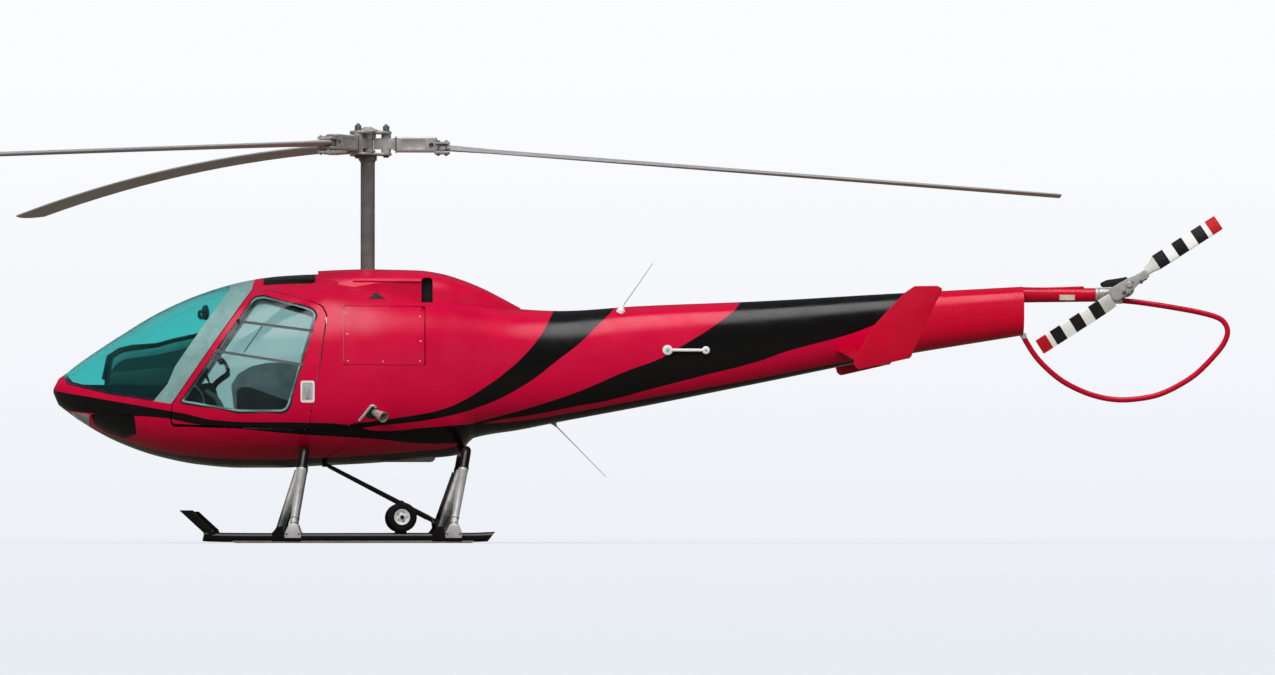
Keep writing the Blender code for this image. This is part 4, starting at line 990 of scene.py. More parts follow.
class HELICOPTER_OT_doors(bpy.types.Operator):
    """Build both doors with window, seal, handle and vent bars"""
    bl_idname = "helicopter.doors"
    bl_label = "Doors"

    def execute(self, context):
        for side, word in SIDES:
            body = f"{word}_door"
            panel = patch(f"door_skin_{word}", (-1.4, CABIN_END), CABIN_WALL, rounded(DOOR, 0.03), side)
            cut(panel, side_slab("window_cutter", grown(rounded(DOOR_GLASS, 0.05), GAP), side, 0.2))
            finish(panel, "paint", "red", f"door_{word}", body=body)
            finish(patch(f"door_pane_{word}", (-1.4, CABIN_END), GLASS, rounded(DOOR_GLASS, 0.05), side,
                outside=GLASS_INSET), "door_glass", "glass", f"door_window_{word}", body=body)
            self.seal(side, word, body)
            self.handle(side, word, body)
            if side < 0:
                self.vent_bars(side, word, body)
        return {"FINISHED"}

    def seal(self, side, word, body):
        outline = rounded(DOOR_GLASS, 0.05)
        points = [on_body(station, height, side, 0.0005) for station, height in outline]
        finish(sweep(f"window_seal_{word}", points, ((-0.007, -0.002), (0.007, -0.002), (0.005, 0.003),
            (-0.005, 0.003)), closed=True, up=(0, side, 0)), "seal", "black", body=body)
        points = [on_body(station, height, side, 0.0002) for station, height in grown(outline, -0.013)]
        finish(sweep(f"window_trim_{word}", points, ((-0.007, -0.001), (0.007, -0.001), (0.006, 0.002),
            (-0.006, 0.002)), closed=True, up=(0, side, 0)), "band", "grey", body=body)

    def handle(self, side, word, body):
        outline = rounded(((-0.452, 1.086), (-0.358, 1.086), (-0.358, 0.939), (-0.452, 0.939)), 0.018)
        middle = on_body(-0.405, 1.01, side)
        frame = patch(f"latch_plate_{word}", (-0.5, -0.3), 0.004, outline, side, outside=-0.003,
            spacing=0.02)
        cut(frame, side_slab("cutter", rounded(((-0.438, 1.07), (-0.372, 1.07), (-0.372, 0.956),
            (-0.438, 0.956)), 0.012), side))
        finish(frame, "white", "white", body=body)
        finish(patch(f"latch_cup_{word}", (-0.5, -0.3), 0.002, rounded(((-0.436, 1.068), (-0.374, 1.068),
            (-0.374, 0.958), (-0.436, 0.958)), 0.012), side, outside=-0.001, spacing=0.02), "grey_plastic",
            "grey", body=body)
        out = out_of_body(-0.405, 1.01, side)
        lever = block(f"latch_lever_{word}", (-0.011, -0.006, -0.04), (0.011, 0.004, 0.04), 0.003)
        turn = Vector((0, 1, 0)).rotation_difference(out).to_matrix().to_4x4()
        moved(lever, Matrix.Translation(middle + out * 0.006) @ turn)
        finish(lever, "light_metal", "steel", body=body)

    def vent_bars(self, side, word, body):
        rails = (((-0.878, 1.489), (-0.362, 1.421)), ((-1.026, 1.288), (-0.436, 1.193)))
        for number, ((a, b), (c, d)) in enumerate(rails):
            points = [on_body(a + (c - a) * t, b + (d - b) * t, side, 0.002) for t in shares(14)]
            finish(sweep(f"vent_rail_{word}_{number}", points, ((-0.003, -0.009), (0.003, -0.009),
                (0.003, 0.009), (-0.003, 0.009)), up=UP), "bar_grey", "grey", body=body)
        points = [on_body(-0.707 - 0.124 * t, 1.455 - 0.178 * t, side, 0.003) for t in shares(8)]
        finish(tube(f"vent_edge_{word}", points, 0.003, 8), "seal", "black", body=body)
        place = on_body(-0.872, 1.488, side, 0.004)
        finish(turned(f"vent_knob_{word}", ((0.01, 0), (0.012, 0.003), (0.012, 0.012), (0.008, 0.016)),
            place, out_of_body(-0.872, 1.488, side), 20), "matt_black", "black", body=body)


class HELICOPTER_OT_cabin_inside(bpy.types.Operator):
    """Build the seats, instrument console, sticks and trim panels"""
    bl_idname = "helicopter.cabin_inside"
    bl_label = "Cabin inside"

    def execute(self, context):
        self.seats()
        self.console()
        self.controls()
        self.trim_panels()
        finish(block("seat_box", *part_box("seat_base"), 0.012, 3), "liner", "panel", "seat_base")
        return {"FINISHED"}

    def seats(self):
        def pad(name, width, depth, thick, crown):
            """A stuffed pad, its sides pulled in between the corners."""
            shape = bmesh.new()
            across, along = 28, 22
            rows = {}
            for face in (0, 1):
                for i in range(across + 1):
                    for j in range(along + 1):
                        u, v = 2 * i / across - 1, 2 * j / along - 1
                        edge = min(1.0, 1 - max(abs(u), abs(v)) ** 5)
                        pull = 1 - 0.02 * (1 - v * v) if abs(u) > 0.9 else 1
                        swell = crown * (1 - u ** 2) ** 0.5 * (1 - v ** 2) ** 0.5 if face else 0
                        height = thick / 2 * (0.35 + 0.65 * edge ** 0.5) * (1 if face else -1) + swell
                        rows[face, i, j] = shape.verts.new((u * depth / 2 * pull, v * width / 2, height))
            for face in (0, 1):
                for i in range(across):
                    for j in range(along):
                        shape.faces.new((rows[face, i, j], rows[face, i + 1, j], rows[face, i + 1, j + 1],
                            rows[face, i, j + 1]))
            rim = ([(i, 0) for i in range(across)] + [(across, j) for j in range(along)]
                + [(i, along) for i in range(across, 0, -1)] + [(0, j) for j in range(along, 0, -1)])
            for first, second in zip(rim, (*rim[1:], rim[0])):
                shape.faces.new((rows[(0, *first)], rows[(0, *second)], rows[(1, *second)],
                    rows[(1, *first)]))
            return from_bmesh(name, shape, 50)

        low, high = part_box("seat_cushion")
        thirds = ((-0.58, -0.2), (-0.19, 0.19), (0.2, 0.58))
        cushions = []
        for number, (a, b) in enumerate(thirds):
            piece = pad(f"cushion_{number}", b - a, high.x - low.x - 0.012, high.z - low.z - 0.016, 0.012)
            moved(piece, Matrix.Translation(((low.x + high.x) / 2, (a + b) / 2,
                (low.z + high.z) / 2 - 0.004)))
            cushions.append(piece)
        seat = merged("seat_cushions", cushions)
        finish(seat, "cloth", "fabric", "seat_cushion")
        low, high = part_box("seat_back")
        backs = []
        for number, (a, b) in enumerate(((-0.565, -0.195), (-0.185, 0.185), (0.195, 0.565))):
            piece = pad(f"back_{number}", b - a, 0.6, 0.075, 0.01)
            turn = Matrix.Rotation(radians(-84), 4, "Y")
            moved(piece, Matrix.Translation(((low.x + high.x) / 2 - 0.005, (a + b) / 2, (low.z + high.z) / 2
                + 0.002)) @ turn)
            backs.append(piece)
        back = merged("seat_backs", backs)
        finish(back, "back_cloth", "fabric", "seat_back")

    def trim_panels(self):
        """Side wings of the seat, knee panels, the shelf under the windshield and the faces of the hood."""
        shelf = slab("nose_shelf", ((-1.96, 1.07), (-1.78, 1.064), (-1.3, 1.04), (-1.3, 0.925),
            (-1.78, 1.0), (-1.96, 1.05)), -0.66, 0.66)
        inside_cabin(shelf)
        finish(shelf, "matt_black", "black")
        visor = plate("hood_visor", ((-1.796, 1.11), (-1.762, 1.263), (-1.681, 1.317), (-1.593, 1.338),
            (-1.423, 1.351), (-1.301, 1.385), (-1.144, 1.419), (-1.135, 1.396), (-1.3, 1.362),
            (-1.42, 1.326), (-1.585, 1.312), (-1.66, 1.292), (-1.728, 1.245), (-1.76, 1.11)), -0.262, 0.262,
            0.004)
        inside_cabin(visor)
        finish(visor, "matt_black", "black")
        for side, word in SIDES:
            for name, outline, inner, outer, skin_name in (("seat_wing",
                    ((-0.918, 1.06), (-0.87, 1.135), (-0.786, 1.184), (-0.689, 1.207), (-0.57, 1.213),
                    (-0.45, 1.2), (-0.45, 0.9), (-0.9, 0.9)), 0.59, 0.612, "back_cloth"),
                    ("seat_side", ((-0.88, 1.03), (-0.84, 1.046), (-0.79, 1.044), (-0.712, 1.016),
                    (-0.625, 0.985), (-0.5, 0.94), (-0.47, 0.88), (-0.88, 0.88)), 0.613, 0.634, "cloth"),
                    ("knee_panel", ((-1.25, FLOOR_TOP), (-1.25, 0.96), (-1.18, 1.066), (-1.045, 1.08),
                    (-1.0, 0.94), (-1.0, FLOOR_TOP)), 0.42, 0.44, "matt_black"),
                    ("hood_face", ((-1.735, 1.15), (-1.715, 1.245), (-1.65, 1.285), (-1.42, 1.32),
                    (-1.3, 1.355), (-1.15, 1.385), (-1.16, 1.33), (-1.42, 1.27), (-1.64, 1.24),
                    (-1.7, 1.2)), 0.2605, 0.266, "grey_plastic"), ("console_face",
                    ((-1.74, 1.07), (-1.735, 1.15), (-1.321, 1.188), (-1.29, 1.06)), 0.2605, 0.266,
                    "console_grey")):
                finish(plate(f"{name}_{word}", rounded(outline, 0.02),
                    *sorted((side * inner, side * outer)), 0.0025), skin_name, "panel")
            finish(rod(f"control_lever_{word}", (at(-1.08), side * STICK_Y, 1.095),
                (at(-1.107), side * STICK_Y, 1.185), 0.006, 12), "matt_black", "black")

    def console(self):
        outline = rounded(((-1.78, 1.06), (-1.76, 1.215), (-1.7, 1.27), (-1.45, 1.29), (-1.16, 1.37),
            (-1.12, 1.35), (-1.18, 1.13), (-1.24, 0.86), (-1.24, FLOOR_TOP), (-1.56, FLOOR_TOP),
            (-1.58, 0.95)), 0.02)
        hood = plate("instrument_hood", outline, -0.26, 0.26, 0.006)
        inside_cabin(hood)
        finish(hood, "plastic", "panel", "instrument_console")
        slope = atan2(1.35 - 1.13, -1.12 + 1.18)
        normal = Vector((sin(slope), 0, -cos(slope)))
        dials = []
        for station, height in ((-1.14, 1.285), (-1.16, 1.205)):
            for column in range(4):
                y = -0.18 + column * 0.12
                place = spot(station, y, height)
                dials.append(turned("dial", ((0.045, -0.002), (0.045, 0.006), (0.038, 0.008),
                    (0.037, 0.004), (0.0003, 0.004)), place, normal, 28))
        finish(merged("instrument_dials", dials), "matt_black", "panel")
        compass = turned("compass", ((0.01, 0), (0.02, 0.01), (0.026, 0.035), (0.026, 0.065),
            (0.018, 0.092), (0.008, 0.102)), (at(-1.1), -0.06, 1.512), UP, 28)
        stem = tube("compass_arm", curved([(at(station), -0.06, height) for station,
            height in ((-1.11, 1.53), (-1.135, 1.53), (-1.142, 1.558), (-1.128, 1.575))]), 0.013, 12)
        finish(merged("compass_case", [compass, stem]), "matt_black", "panel")

    def controls(self):
        for side, word in SIDES:
            path = ((-0.96, FLOOR_TOP), (-0.975, 0.8), (-1.02, 0.96), (-1.04, 1.06), (-0.998, 1.109),
                (-0.948, 1.15), (-0.965, 1.217), (-1.03, 1.28))
            points = curved([(at(station), side * STICK_Y, height) for station, height in path])
            finish(tube(f"cyclic_tube_{word}", points, 0.0115, 16), "matt_black", "black",
                f"cyclic_stick_{word}")
            top = spot(-1.03, side * STICK_Y, 1.28)
            finish(turned(f"cyclic_grip_{word}", ((0.013, -0.07), (0.018, -0.06), (0.016, -0.03),
                (0.019, 0.0), (0.017, 0.03), (0.008, 0.038)), top, (-0.55, 0, 0.83), 20), "rubber", "black")
            for number, (a, b) in enumerate((((-1.173, 1.067), (-1.099, 0.911)),
                    ((-1.092, 1.026), (-0.984, 0.891)))):
                middle = ((a[0] + b[0]) / 2 + 0.018, (a[1] + b[1]) / 2 + 0.012)
                points = curved([(at(s), side * 0.45, z) for s, z in (a, middle, b)])
                finish(tube(f"control_link_{word}_{number}", points, 0.009 + 0.009 * number, 14), "band",
                    "grey")


class HELICOPTER_OT_engine_bay(bpy.types.Operator):
    """Build the skin behind the cabin, its access panels, the engine and the exhaust"""
    bl_idname = "helicopter.engine_bay"
    bl_label = "Engine bay"

    def execute(self, context):
        bay = body_shell("engine_bay_surface", CABIN_END + GAP, BAY_END - GAP, BAY_WALL)
        holes = [rod("mast_hole", (at(0), 0, 1.71), (at(0), 0, 2.0), MAST_RADIUS + 0.01, 40)]
        foot = on_body(0.027, 0.886, -1, -0.06)
        lean = Vector((0.06, -0.125, -0.05))
        holes.append(rod("pipe_hole", foot - lean / 2, foot + lean, 0.0345, 40))
        for side, word in SIDES:
            holes.append(side_slab(f"panel_hole_{word}", rounded(grown(ENGINE_PANEL_WAY, -0.004), 0.012),
                side))
            holes.append(side_slab(f"recess_{word}", INTAKE_RECESS, side, RECESS_INNER))
        cut(bay, *holes)
        finish(bay, "paint", "red", "engine_bay_skin")
        for side, word in SIDES:
            body = f"{word}_engine_panel"
            finish(patch(f"access_panel_{word}", (CABIN_END + 0.01, 0.45), BAY_WALL,
                rounded(ENGINE_PANEL, 0.012), side), "paint", "red", f"engine_panel_{word}", body=body)
            finish(patch(f"panel_flange_{word}", (0.3, 0.45), 0.003,
                ((0.35, 1.17), (0.35, 1.625), (0.425, 1.625), (0.425, 1.17)), side, outside=BAY_WALL
                + 0.0055, spacing=0.03), "red", "red")
            places = ((-0.135, 1.22), (0.1, 1.215), (0.35, 1.22), (0.35, 1.525), (0.355, 1.355),
                (-0.14, 1.4), (-0.15, 1.545))
            studs = [stud("fastener", on_body(*place, side), out_of_body(*place, side), looks().seam)
                for place in places]
            finish(merged(f"panel_fasteners_{word}", studs), "steel", "steel", body=body)
        self.engine()
        self.gearbox()
        self.exhaust()
        return {"FINISHED"}

    def engine(self):
        """Crankcase with a sump and four finned cylinders, two to a side."""
        low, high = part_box("engine_block")
        middle = (low + high) / 2
        parts = [block("crankcase", (low.x, -0.13, 0.74), (high.x, 0.13, high.z), 0.03, 3),
            block("sump", (low.x + 0.06, -0.15, low.z), (high.x - 0.06, 0.15, 0.745), 0.03, 3)]
        for side in (-1, 1):
            for x in (middle.x - 0.155, middle.x + 0.155):
                profile = [(0.07, 0)]
                for fin in range(9):
                    along = 0.01 + fin * 0.02
                    profile += [(0.07, along), (0.118, along + 0.003), (0.118, along + 0.007),
                        (0.07, along + 0.01)]
                profile.append((0.07, 0.19))
                parts.append(turned("cylinder", profile, (x, side * 0.12, 0.94), (0, side, 0), 32))
                parts.append(block("rocker_cover", (x - 0.1, min(side * 0.31, side * high.y), 0.86),
                    (x + 0.1, max(side * 0.31, side * high.y), 1.02), 0.022, 3))
        finish(merged("engine_case", parts), "light_metal", "cast", "engine_block")

    def gearbox(self):
        """Ribbed case under the mast, with the grooved pulley that drives it."""
        low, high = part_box("main_gearbox")
        mast = spot(0, 0, low.z)
        parts = [block("case", low, (high.x, high.y, 1.4), 0.03, 3),
            turned("tower", ((0.15, 0.195), (0.14, 0.215), (0.098, 0.25), (0.085, 0.4), (0.085, 0.47),
            (0.112, 0.476), (0.112, 0.492), (0.07, 0.4995)), mast, UP, 40)]
        for step in range(8):
            rib = block("rib", (0.07, -0.005, 0.19), (0.125, 0.005, 0.4), 0.002)
            parts.append(moved(rib, Matrix.Translation(mast) @ Matrix.Rotation(pi * step / 4, 4, "Z")))
        finish(merged("gearbox_case", parts), "light_metal", "cast", "main_gearbox")
        grooves = [(0.03, 0.0), (0.13, 0.0)]
        for groove in range(4):
            along = 0.006 + groove * 0.014
            grooves += [(0.136, along), (0.136, along + 0.004), (0.126, along + 0.007),
                (0.136, along + 0.01)]
        finish(turned("drive_pulley", (*grooves, (0.13, 0.066), (0.11, 0.06), (0.05, 0.04), (0.045, 0.075),
            (0.03, 0.078)), (high.x + 0.02, 0, 1.345), (1, 0, 0), 48), "bolt_metal", "cast")

    def exhaust(self):
        """A flared outlet in a black patch on the skin, which is painted shade of the opening round the
        pipe, and a pale arch round its front.
        """
        mouth = on_body(0.03, 0.88, -1)
        # The black patch round the pipe is painted shade of the opening in the skin.
        finish(patch("exhaust_painted_shade", (-0.1, 0.14), 0.002, rounded(((-0.02, 0.832), (0.005, 0.912),
            (0.052, 0.912), (0.072, 0.832)), 0.04, 8), -1, outside=-0.001, spacing=0.02), "matt_black",
            "black")
        points = [on_body(station, height, -1, 0.002) for station, height in ((-0.06, 0.818),
            (-0.028, 0.856), (0.002, 0.895), (0.02, 0.916), (0.038, 0.918), (0.052, 0.906))]
        finish(tube("exhaust_arch", curved(points, 5), 0.0095, 14), "light_metal", "steel")
        start, aft = mouth + Vector((-0.01, 0.045, 0.012)), Vector((0.085, -0.1, -0.052))
        length = aft.length
        finish(turned("exhaust_outlet", ((0.024, 0), (0.026, 0.004), (0.026, length * 0.45),
            (0.033, length * 0.85), (0.037, length), (0.034, length), (0.024, length * 0.5),
            (0.0003, length * 0.45)), start, aft, 40), "rust_metal", "steel", "exhaust_pipe")


class HELICOPTER_OT_cowl(bpy.types.Operator):
    """Build the raised cowl with its air intakes"""
    bl_idname = "helicopter.cowl"
    bl_label = "Cowl"

    def ring(self, station, inset=0.0, narrowed=None, points=64):
        top, half = (smooth_value(COWL, column, station) - inset for column in (1, 2))
        half = min(half, narrowed or half)
        ring = []
        for index in range(points + 1):
            angle = pi * index / points
            side, rise = cos(angle), sin(angle)
            power = 2 / COWL_ROUND
            ring.append(spot(station, copysign(abs(side) ** power, side) * half, COWL_FOOT
                + rise ** power * (top - COWL_FOOT)))
        return ring

    def execute(self, context):
        first, last = COWL[0][0], COWL[-1][0]
        hump = loft("cowl_skin", [self.ring(station) for station in stations_between(first, last, 0.03)])
        hollow = loft("hollow", [self.ring(station, COWL_WALL, COWL_HOLLOW_HALF)
            for station in stations_between(-0.325, 0.5, 0.04)])
        seat = body_solid("seat", -0.4, 1.2, -GAP, 0.03)
        cut(seat, *(side_slab("recess", INTAKE_RECESS, side, RECESS_INNER) for side in (-1, 1)))
        ramps = []
        for side in (-1, 1):
            outline = [(station, side * reach) for station, reach in INTAKE_RAMP]
            ramps.append(slab("ramp", outline, INTAKE_LOW, RAMP_TOP, plan=True))
            ramps.append(slab("slot", rounded(INTAKE_SLOT, 0.03), *sorted((side * 0.205, side * 0.42))))
        hole = rod("mast_hole", (at(0), 0, 1.71), (at(0), 0, 2.0), MAST_RADIUS + 0.01, 40)
        cut(hump, hollow, *ramps, seat, hole)
        finish(hump, "red", "red", "engine_cowl")
        for side, word in SIDES:
            self.intake(side, word)
        return {"FINISHED"}

    def intake(self, side, word):
        """Black sheet in the slot, which is painted shade of the duct behind it, floor of the recess, lip
        over the ramp and flush scoop below it.
        """
        # The black sheet behind the slot is painted shade: it stands for the dark inside of the intake
        # duct.
        finish(slab(f"intake_slot_shade_{word}", ((0.3, 1.6), (0.3, 1.8), (0.47, 1.795), (0.47, 1.6)),
            *sorted((side * 0.212, side * 0.207))), "matt_black", "black")
        outline = []
        for station in stations_between(-0.1, 0.362, 0.05):
            top, half = (smooth_value(COWL, column, station) for column in (1, 2))
            share = (RAMP_TOP + 0.005 - COWL_FOOT) / (top - COWL_FOOT)
            outline.append((station, side * (half * (1 - share ** COWL_ROUND) ** (1 / COWL_ROUND) + 0.01)))
        outline += [(0.362, side * 0.27), (-0.1, side * STICK_Y)]
        floor = side_slab(f"recess_floor_{word}", (*INTAKE_RECESS[:4],
            *((station, height - 0.005) for station, height in reversed(INTAKE_RECESS[:4]))), side,
            RECESS_INNER + GAP)
        trim(floor, body_solid("inside", -0.4, 0.6, 0.002))
        finish(floor, "red", "red")
        finish(plate(f"ramp_lip_{word}", outline, RAMP_TOP, RAMP_TOP + 0.009, 0.002, plan=True), "red",
            "red")
        scoop = patch(f"flush_scoop_{word}", (-0.05, 0.2), 0.006, ((0.004, 1.645), (0.122, 1.645),
            (0.052, 1.694)), side, outside=-0.003)
        cut(scoop, side_slab("cutter", ((0.016, 1.648), (0.11, 1.648), (0.054, 1.686)), side, 0.5))
        finish(scoop, "seal", "black")


class HELICOPTER_OT_tail_boom(bpy.types.Operator):
    """Build the tail cone with all that it carries but the rotor"""
    bl_idname = "helicopter.tail_boom"
    bl_label = "Tail boom"

    def execute(self, context):
        cone = body_shell("tail_cone_skin", BAY_END, TAIL_END, CONE_WALL, hollow_end=TAIL_END - 0.016,
            spacing=0.06)
        finish(cone, "paint", "red", "tail_cone")
        front = (at(TAIL_END + GAP), 0, TAIL_TUBE_Z)
        length = TAIL_TUBE_END - TAIL_END
        finish(turned("drive_tube", ((0.05, 0), (0.053, 0.003), (0.052, 0.06), (0.046, length - 0.003),
            (0.044, length)), front, (1, 0, 0), 40), "tail_red", "red", "tail_drive_tube")
        points = curved([(at(GUARD[0][0] - 0.04), 0, GUARD[0][1] + 0.005)]
            + [(at(station), 0, height) for station, height in GUARD], 5)
        finish(sweep("tail_guard_tube", points, circle(GUARD_RADIUS, 24), up=(0, 1, 0)), "tail_red", "red",
            "tail_guard")
        for side, word in SIDES:
            self.handles(side, word)
            self.end_plate(side, word)
        self.stabilizer()
        self.antennas()
        self.gearbox()
        self.rivets()
        return {"FINISHED"}

    def stabilizer(self):
        """One smooth wing through the cone, with round edges."""
        edge = PLATE_Y - PLATE_THICKNESS / 2 - GAP
        rings = [[Vector((at(lead) + x, y, height + z)) for x, z in airfoil(trail - lead,
            STABILIZER_THICKNESS, 0.0)]
                 for y, (lead, trail, height) in ((-edge, STABILIZER_TIP), (0.0, STABILIZER_ROOT),
                         (edge, STABILIZER_TIP))]
        finish(loft("stabilizer_skin", rings), "tail_red", "red", "stabilizer")

    def end_plate(self, side, word):
        low, high = sorted((side * (PLATE_Y - PLATE_THICKNESS / 2), side * (PLATE_Y + PLATE_THICKNESS / 2)))
        finish(plate(f"end_plate_skin_{word}", rounded(END_PLATE, 0.03), low, high, 0.007), "tail_red",
            "red", f"end_plate_{word}")
        studs = []
        out = side * (PLATE_Y + PLATE_THICKNESS / 2)
        for share in (0.15, 0.38, 0.62, 0.85):
            station = STABILIZER_TIP[0] + (STABILIZER_TIP[1] - STABILIZER_TIP[0]) * share
            place = spot(station, out, STABILIZER_TIP[2])
            studs.append(stud("plate_screw", place, (0, side, 0), looks().seam))
        finish(merged(f"plate_screws_{word}", studs), "tail_red", "red")

    def antennas(self):
        """A white and a grey foot, each with a thin whip."""
        for word, foot, rise, tip, skin_name, radius in (("upper", (1.714, -0.14, 1.56),
                (0.016, -0.005, 0.045), (1.935, -0.18, 1.898), "white", 0.03),
                ("lower", (1.262, 0.0, 0.83), (0.016, 0.0, -0.03), (1.622, 0.0, 0.449), "grey_plastic",
                0.022)):
            base = spot(*foot)
            rise = Vector(rise)
            length = rise.length * 1.3
            cone = turned(f"antenna_foot_{word}", ((radius, 0), (radius, length * 0.35),
                (radius * 0.55, length * 0.6), (radius * 0.28, length), (0.004, length * 1.05)), base, rise,
                28)
            cut(cone, body_solid("seat", 1.04, 2.2, -GAP, 0.1))
            finish(cone, skin_name, "white" if radius > 0.025 else "grey", f"antenna_{word}")
            finish(rod(f"whip_{word}", base + rise, spot(*tip), 0.0038, 10, end_radius=0.0022),
                "grey_plastic", "grey")

    def gearbox(self):
        """Tail gearbox with its flange, output sleeve, pitch lever and the fittings on the drive tube."""
        hub = TAIL_HUB
        front = rod("nose", (at(TAIL_TUBE_END + GAP), 0, TAIL_TUBE_Z), (at(5.12), 0, TAIL_TUBE_Z), 0.05, 36,
            0.006)
        case = turned("case", ((0.04, 0), (0.058, 0.008), (0.066, 0.02), (0.066, 0.06), (0.068, 0.064),
            (0.068, 0.078), (0.062, 0.082), (0.06, 0.15), (0.068, 0.156), (0.068, 0.172), (0.056, 0.178),
            (0.045, 0.185)), (hub.x, 0.075, hub.z - 0.01), (0, -1, 0), 40)
        sleeve = turned("sleeve", ((0.036, 0), (0.036, 0.012), (0.028, 0.02), (0.026, 0.15), (0.034, 0.156),
            (0.034, 0.1697)), (hub.x, -0.1, hub.z), (0, -1, 0), 32)
        lug = block("lug", (at(5.09), -0.02, 1.632), (at(5.15), 0.02, 1.69), 0.004)
        finish(merged("tail_gearbox_case", [front, case, sleeve, lug]), "light_metal", "cast",
            "tail_gearbox")
        bolts = []
        for step in range(8):
            angle = 2 * pi * (step + 0.5) / 8
            bolts += bolt("case_bolt", (hub.x + 0.054 * cos(angle), -0.105, hub.z - 0.01
                + 0.054 * sin(angle)), (0, -1, 0), 0.005, 0.006)
        finish(merged("case_bolts", bolts), "bolt_metal", "steel")
        finish(plate("pitch_lever", rounded(((4.984, 1.768), (5.03, 1.79), (5.1, 1.8), (5.165, 1.812),
            (5.176, 1.798), (5.13, 1.768), (5.08, 1.742), (4.996, 1.74)), 0.02), -0.138, -0.108, 0.004),
            "matt_black", "black")
        finish(rod("pitch_tube", (at(4.18), -0.012, 1.722), (at(4.886), -0.012, 1.745), 0.0065, 12),
            "tail_red", "red")
        finish(turned("tube_collar", ((0.0475, 0), (0.05, 0.002), (0.05, 0.018), (0.0475, 0.02)),
            (at(TAIL_TUBE_END - 0.0205), 0, TAIL_TUBE_Z), (1, 0, 0), 40), "light_metal", "cast")
        finish(plate("bare_plate", ((4.716, 1.655), (4.82, 1.655), (4.82, 1.691), (4.716, 1.691)), -0.0525,
            -0.045, 0.001), "beige", "white")
        for side, word in SIDES:
            finish(turned(f"guard_pin_{word}", ((0.021, 0), (0.021, 0.006), (0.016, 0.007), (0.016, 0.012),
                (0.01, 0.015)), (at(4.474), side * GUARD_RADIUS, 1.412), (0, side, 0), 24), "white",
                "white")

    def rivets(self):
        """Rows of rivets round the cone at its frames."""
        studs = []
        for frame in (1.1, 1.95, 2.75, 3.9, 4.43):
            ring = body_ring(frame)
            for index in range(0, RING_POINTS, 4):
                height = ring[index].z
                side = 1 if ring[index].y > 0 else -1
                if abs(ring[index].y) > 0.02:
                    studs.append(stud("rivet", ring[index], out_of_body(frame, height, side), 0.0035))
        finish(merged("cone_rivets", studs), "paint", "red")

    def handles(self, side, word):
        parts = []
        spots = []
        for station, radius in ((2.03, 0.036), (2.29, 0.028)):
            place = on_body(station, 1.305, side, -0.006)
            out = Vector((0, side, 0))
            parts.append(turned("foot", ((radius * 0.7, 0), (radius * 0.95, 0.01), (radius, 0.02),
                (radius * 0.9, 0.031), (radius * 0.6, 0.036)), place, out, 28))
            spots.append(turned("spot", ((radius * 0.4, 0.035), (radius * 0.4, 0.037),
                (radius * 0.2, 0.038)), place, out, 20))
        parts.append(rod("bar", on_body(2.03, 1.305, side, 0.018), on_body(2.29, 1.305, side, 0.018),
            0.011))
        finish(merged(f"handle_{word}", parts), "white", "white")
        finish(merged(f"handle_screws_{word}", spots), "grey_plastic", "grey")


class HELICOPTER_OT_tail_rotor(bpy.types.Operator):
    """Build the tail rotor's blades and hub"""
    bl_idname = "helicopter.tail_rotor"
    bl_label = "Tail rotor"

    def execute(self, context):
        tilt = Matrix.Translation(TAIL_HUB) @ Matrix.Rotation(-TAIL_TILT, 4, "Y")
        for number, (turn, root, neck) in enumerate(((0.0, 0.062, 0.07), (pi, 0.1, 0.104)), start=1):
            rings = []
            for radius, chord, thickness in ((0.1505, root, 0.03), (0.19, neck, 0.026),
                    (0.235, TAIL_CHORD, 0.02), (0.45, TAIL_CHORD, 0.017), (TAIL_RADIUS - 0.004, TAIL_CHORD,
                    0.014), (TAIL_RADIUS, TAIL_CHORD - 0.008, 0.01)):
                rings.append([Vector((radius, z * cos(TAIL_PITCH) + x * sin(TAIL_PITCH),
                    x * cos(TAIL_PITCH) - z * sin(TAIL_PITCH))) for x, z in airfoil(chord, thickness)])
            blade = moved(loft(f"tail_blade_skin_{number}", rings), tilt @ Matrix.Rotation(turn, 4, "Y"))
            finish(blade, "tail_blade", "white", f"tail_blade_{number}", body="tail_rotor")
        self.hub(tilt)
        return {"FINISHED"}

    def hub(self, tilt):
        """Shaft, arm with its waist, pitch links and bolts."""
        outline = rounded(((-0.15, 0.05), (-0.15, -0.05), (-0.05, -0.046), (0.02, -0.04), (0.06, -0.031),
            (0.11, -0.026), (0.15, -0.031), (0.15, 0.031), (0.11, 0.028), (0.06, 0.034), (0.02, 0.042),
            (-0.05, 0.046)), 0.06)
        arm = moved(plate("tail_arm", outline, -0.02, 0.02, 0.005),
            tilt @ Matrix.Translation((-MAST_X, 0, 0)))
        shaft = turned("tail_shaft", ((0.018, 0), (0.02, 0.002), (0.02, 0.072), (0.029, 0.077),
            (0.029, 0.092), (0.022, 0.094), (0.022, 0.138), (0.016, 0.1447)), TAIL_HUB
            + Vector((0, 0.11 - GAP, 0)), (0, -1, 0), 32)
        finish(merged("tail_rotor_arm", [arm, shaft]), "light_metal", "steel", "tail_rotor_hub",
            body="tail_rotor")
        darks = []
        for turn in (1, -1):
            darks.append(rod("pitch_link", (turn * 0.125, 0.004, -turn * 0.03),
                (turn * 0.03, 0.052, -turn * 0.022), 0.006, 12))
            darks += bolt("link_bolt", (0.01 + turn * 0.068, -0.02, -0.026), (0, -1, 0), 0.01, 0.008)
        darks.append(rod("spider", (-0.046, 0.052, 0.03), (0.046, 0.052, -0.03), 0.008, 12))
        # A dark plate on the arm's face is painted shade of a slot there.
        darks.append(block("hub_slot_shade", (0.006, -0.0212, -0.01), (0.032, -0.018, 0.013), 0.001))
        finish(moved(merged("tail_hub_bolts", darks), tilt), "bolt_metal", "steel", body="tail_rotor")


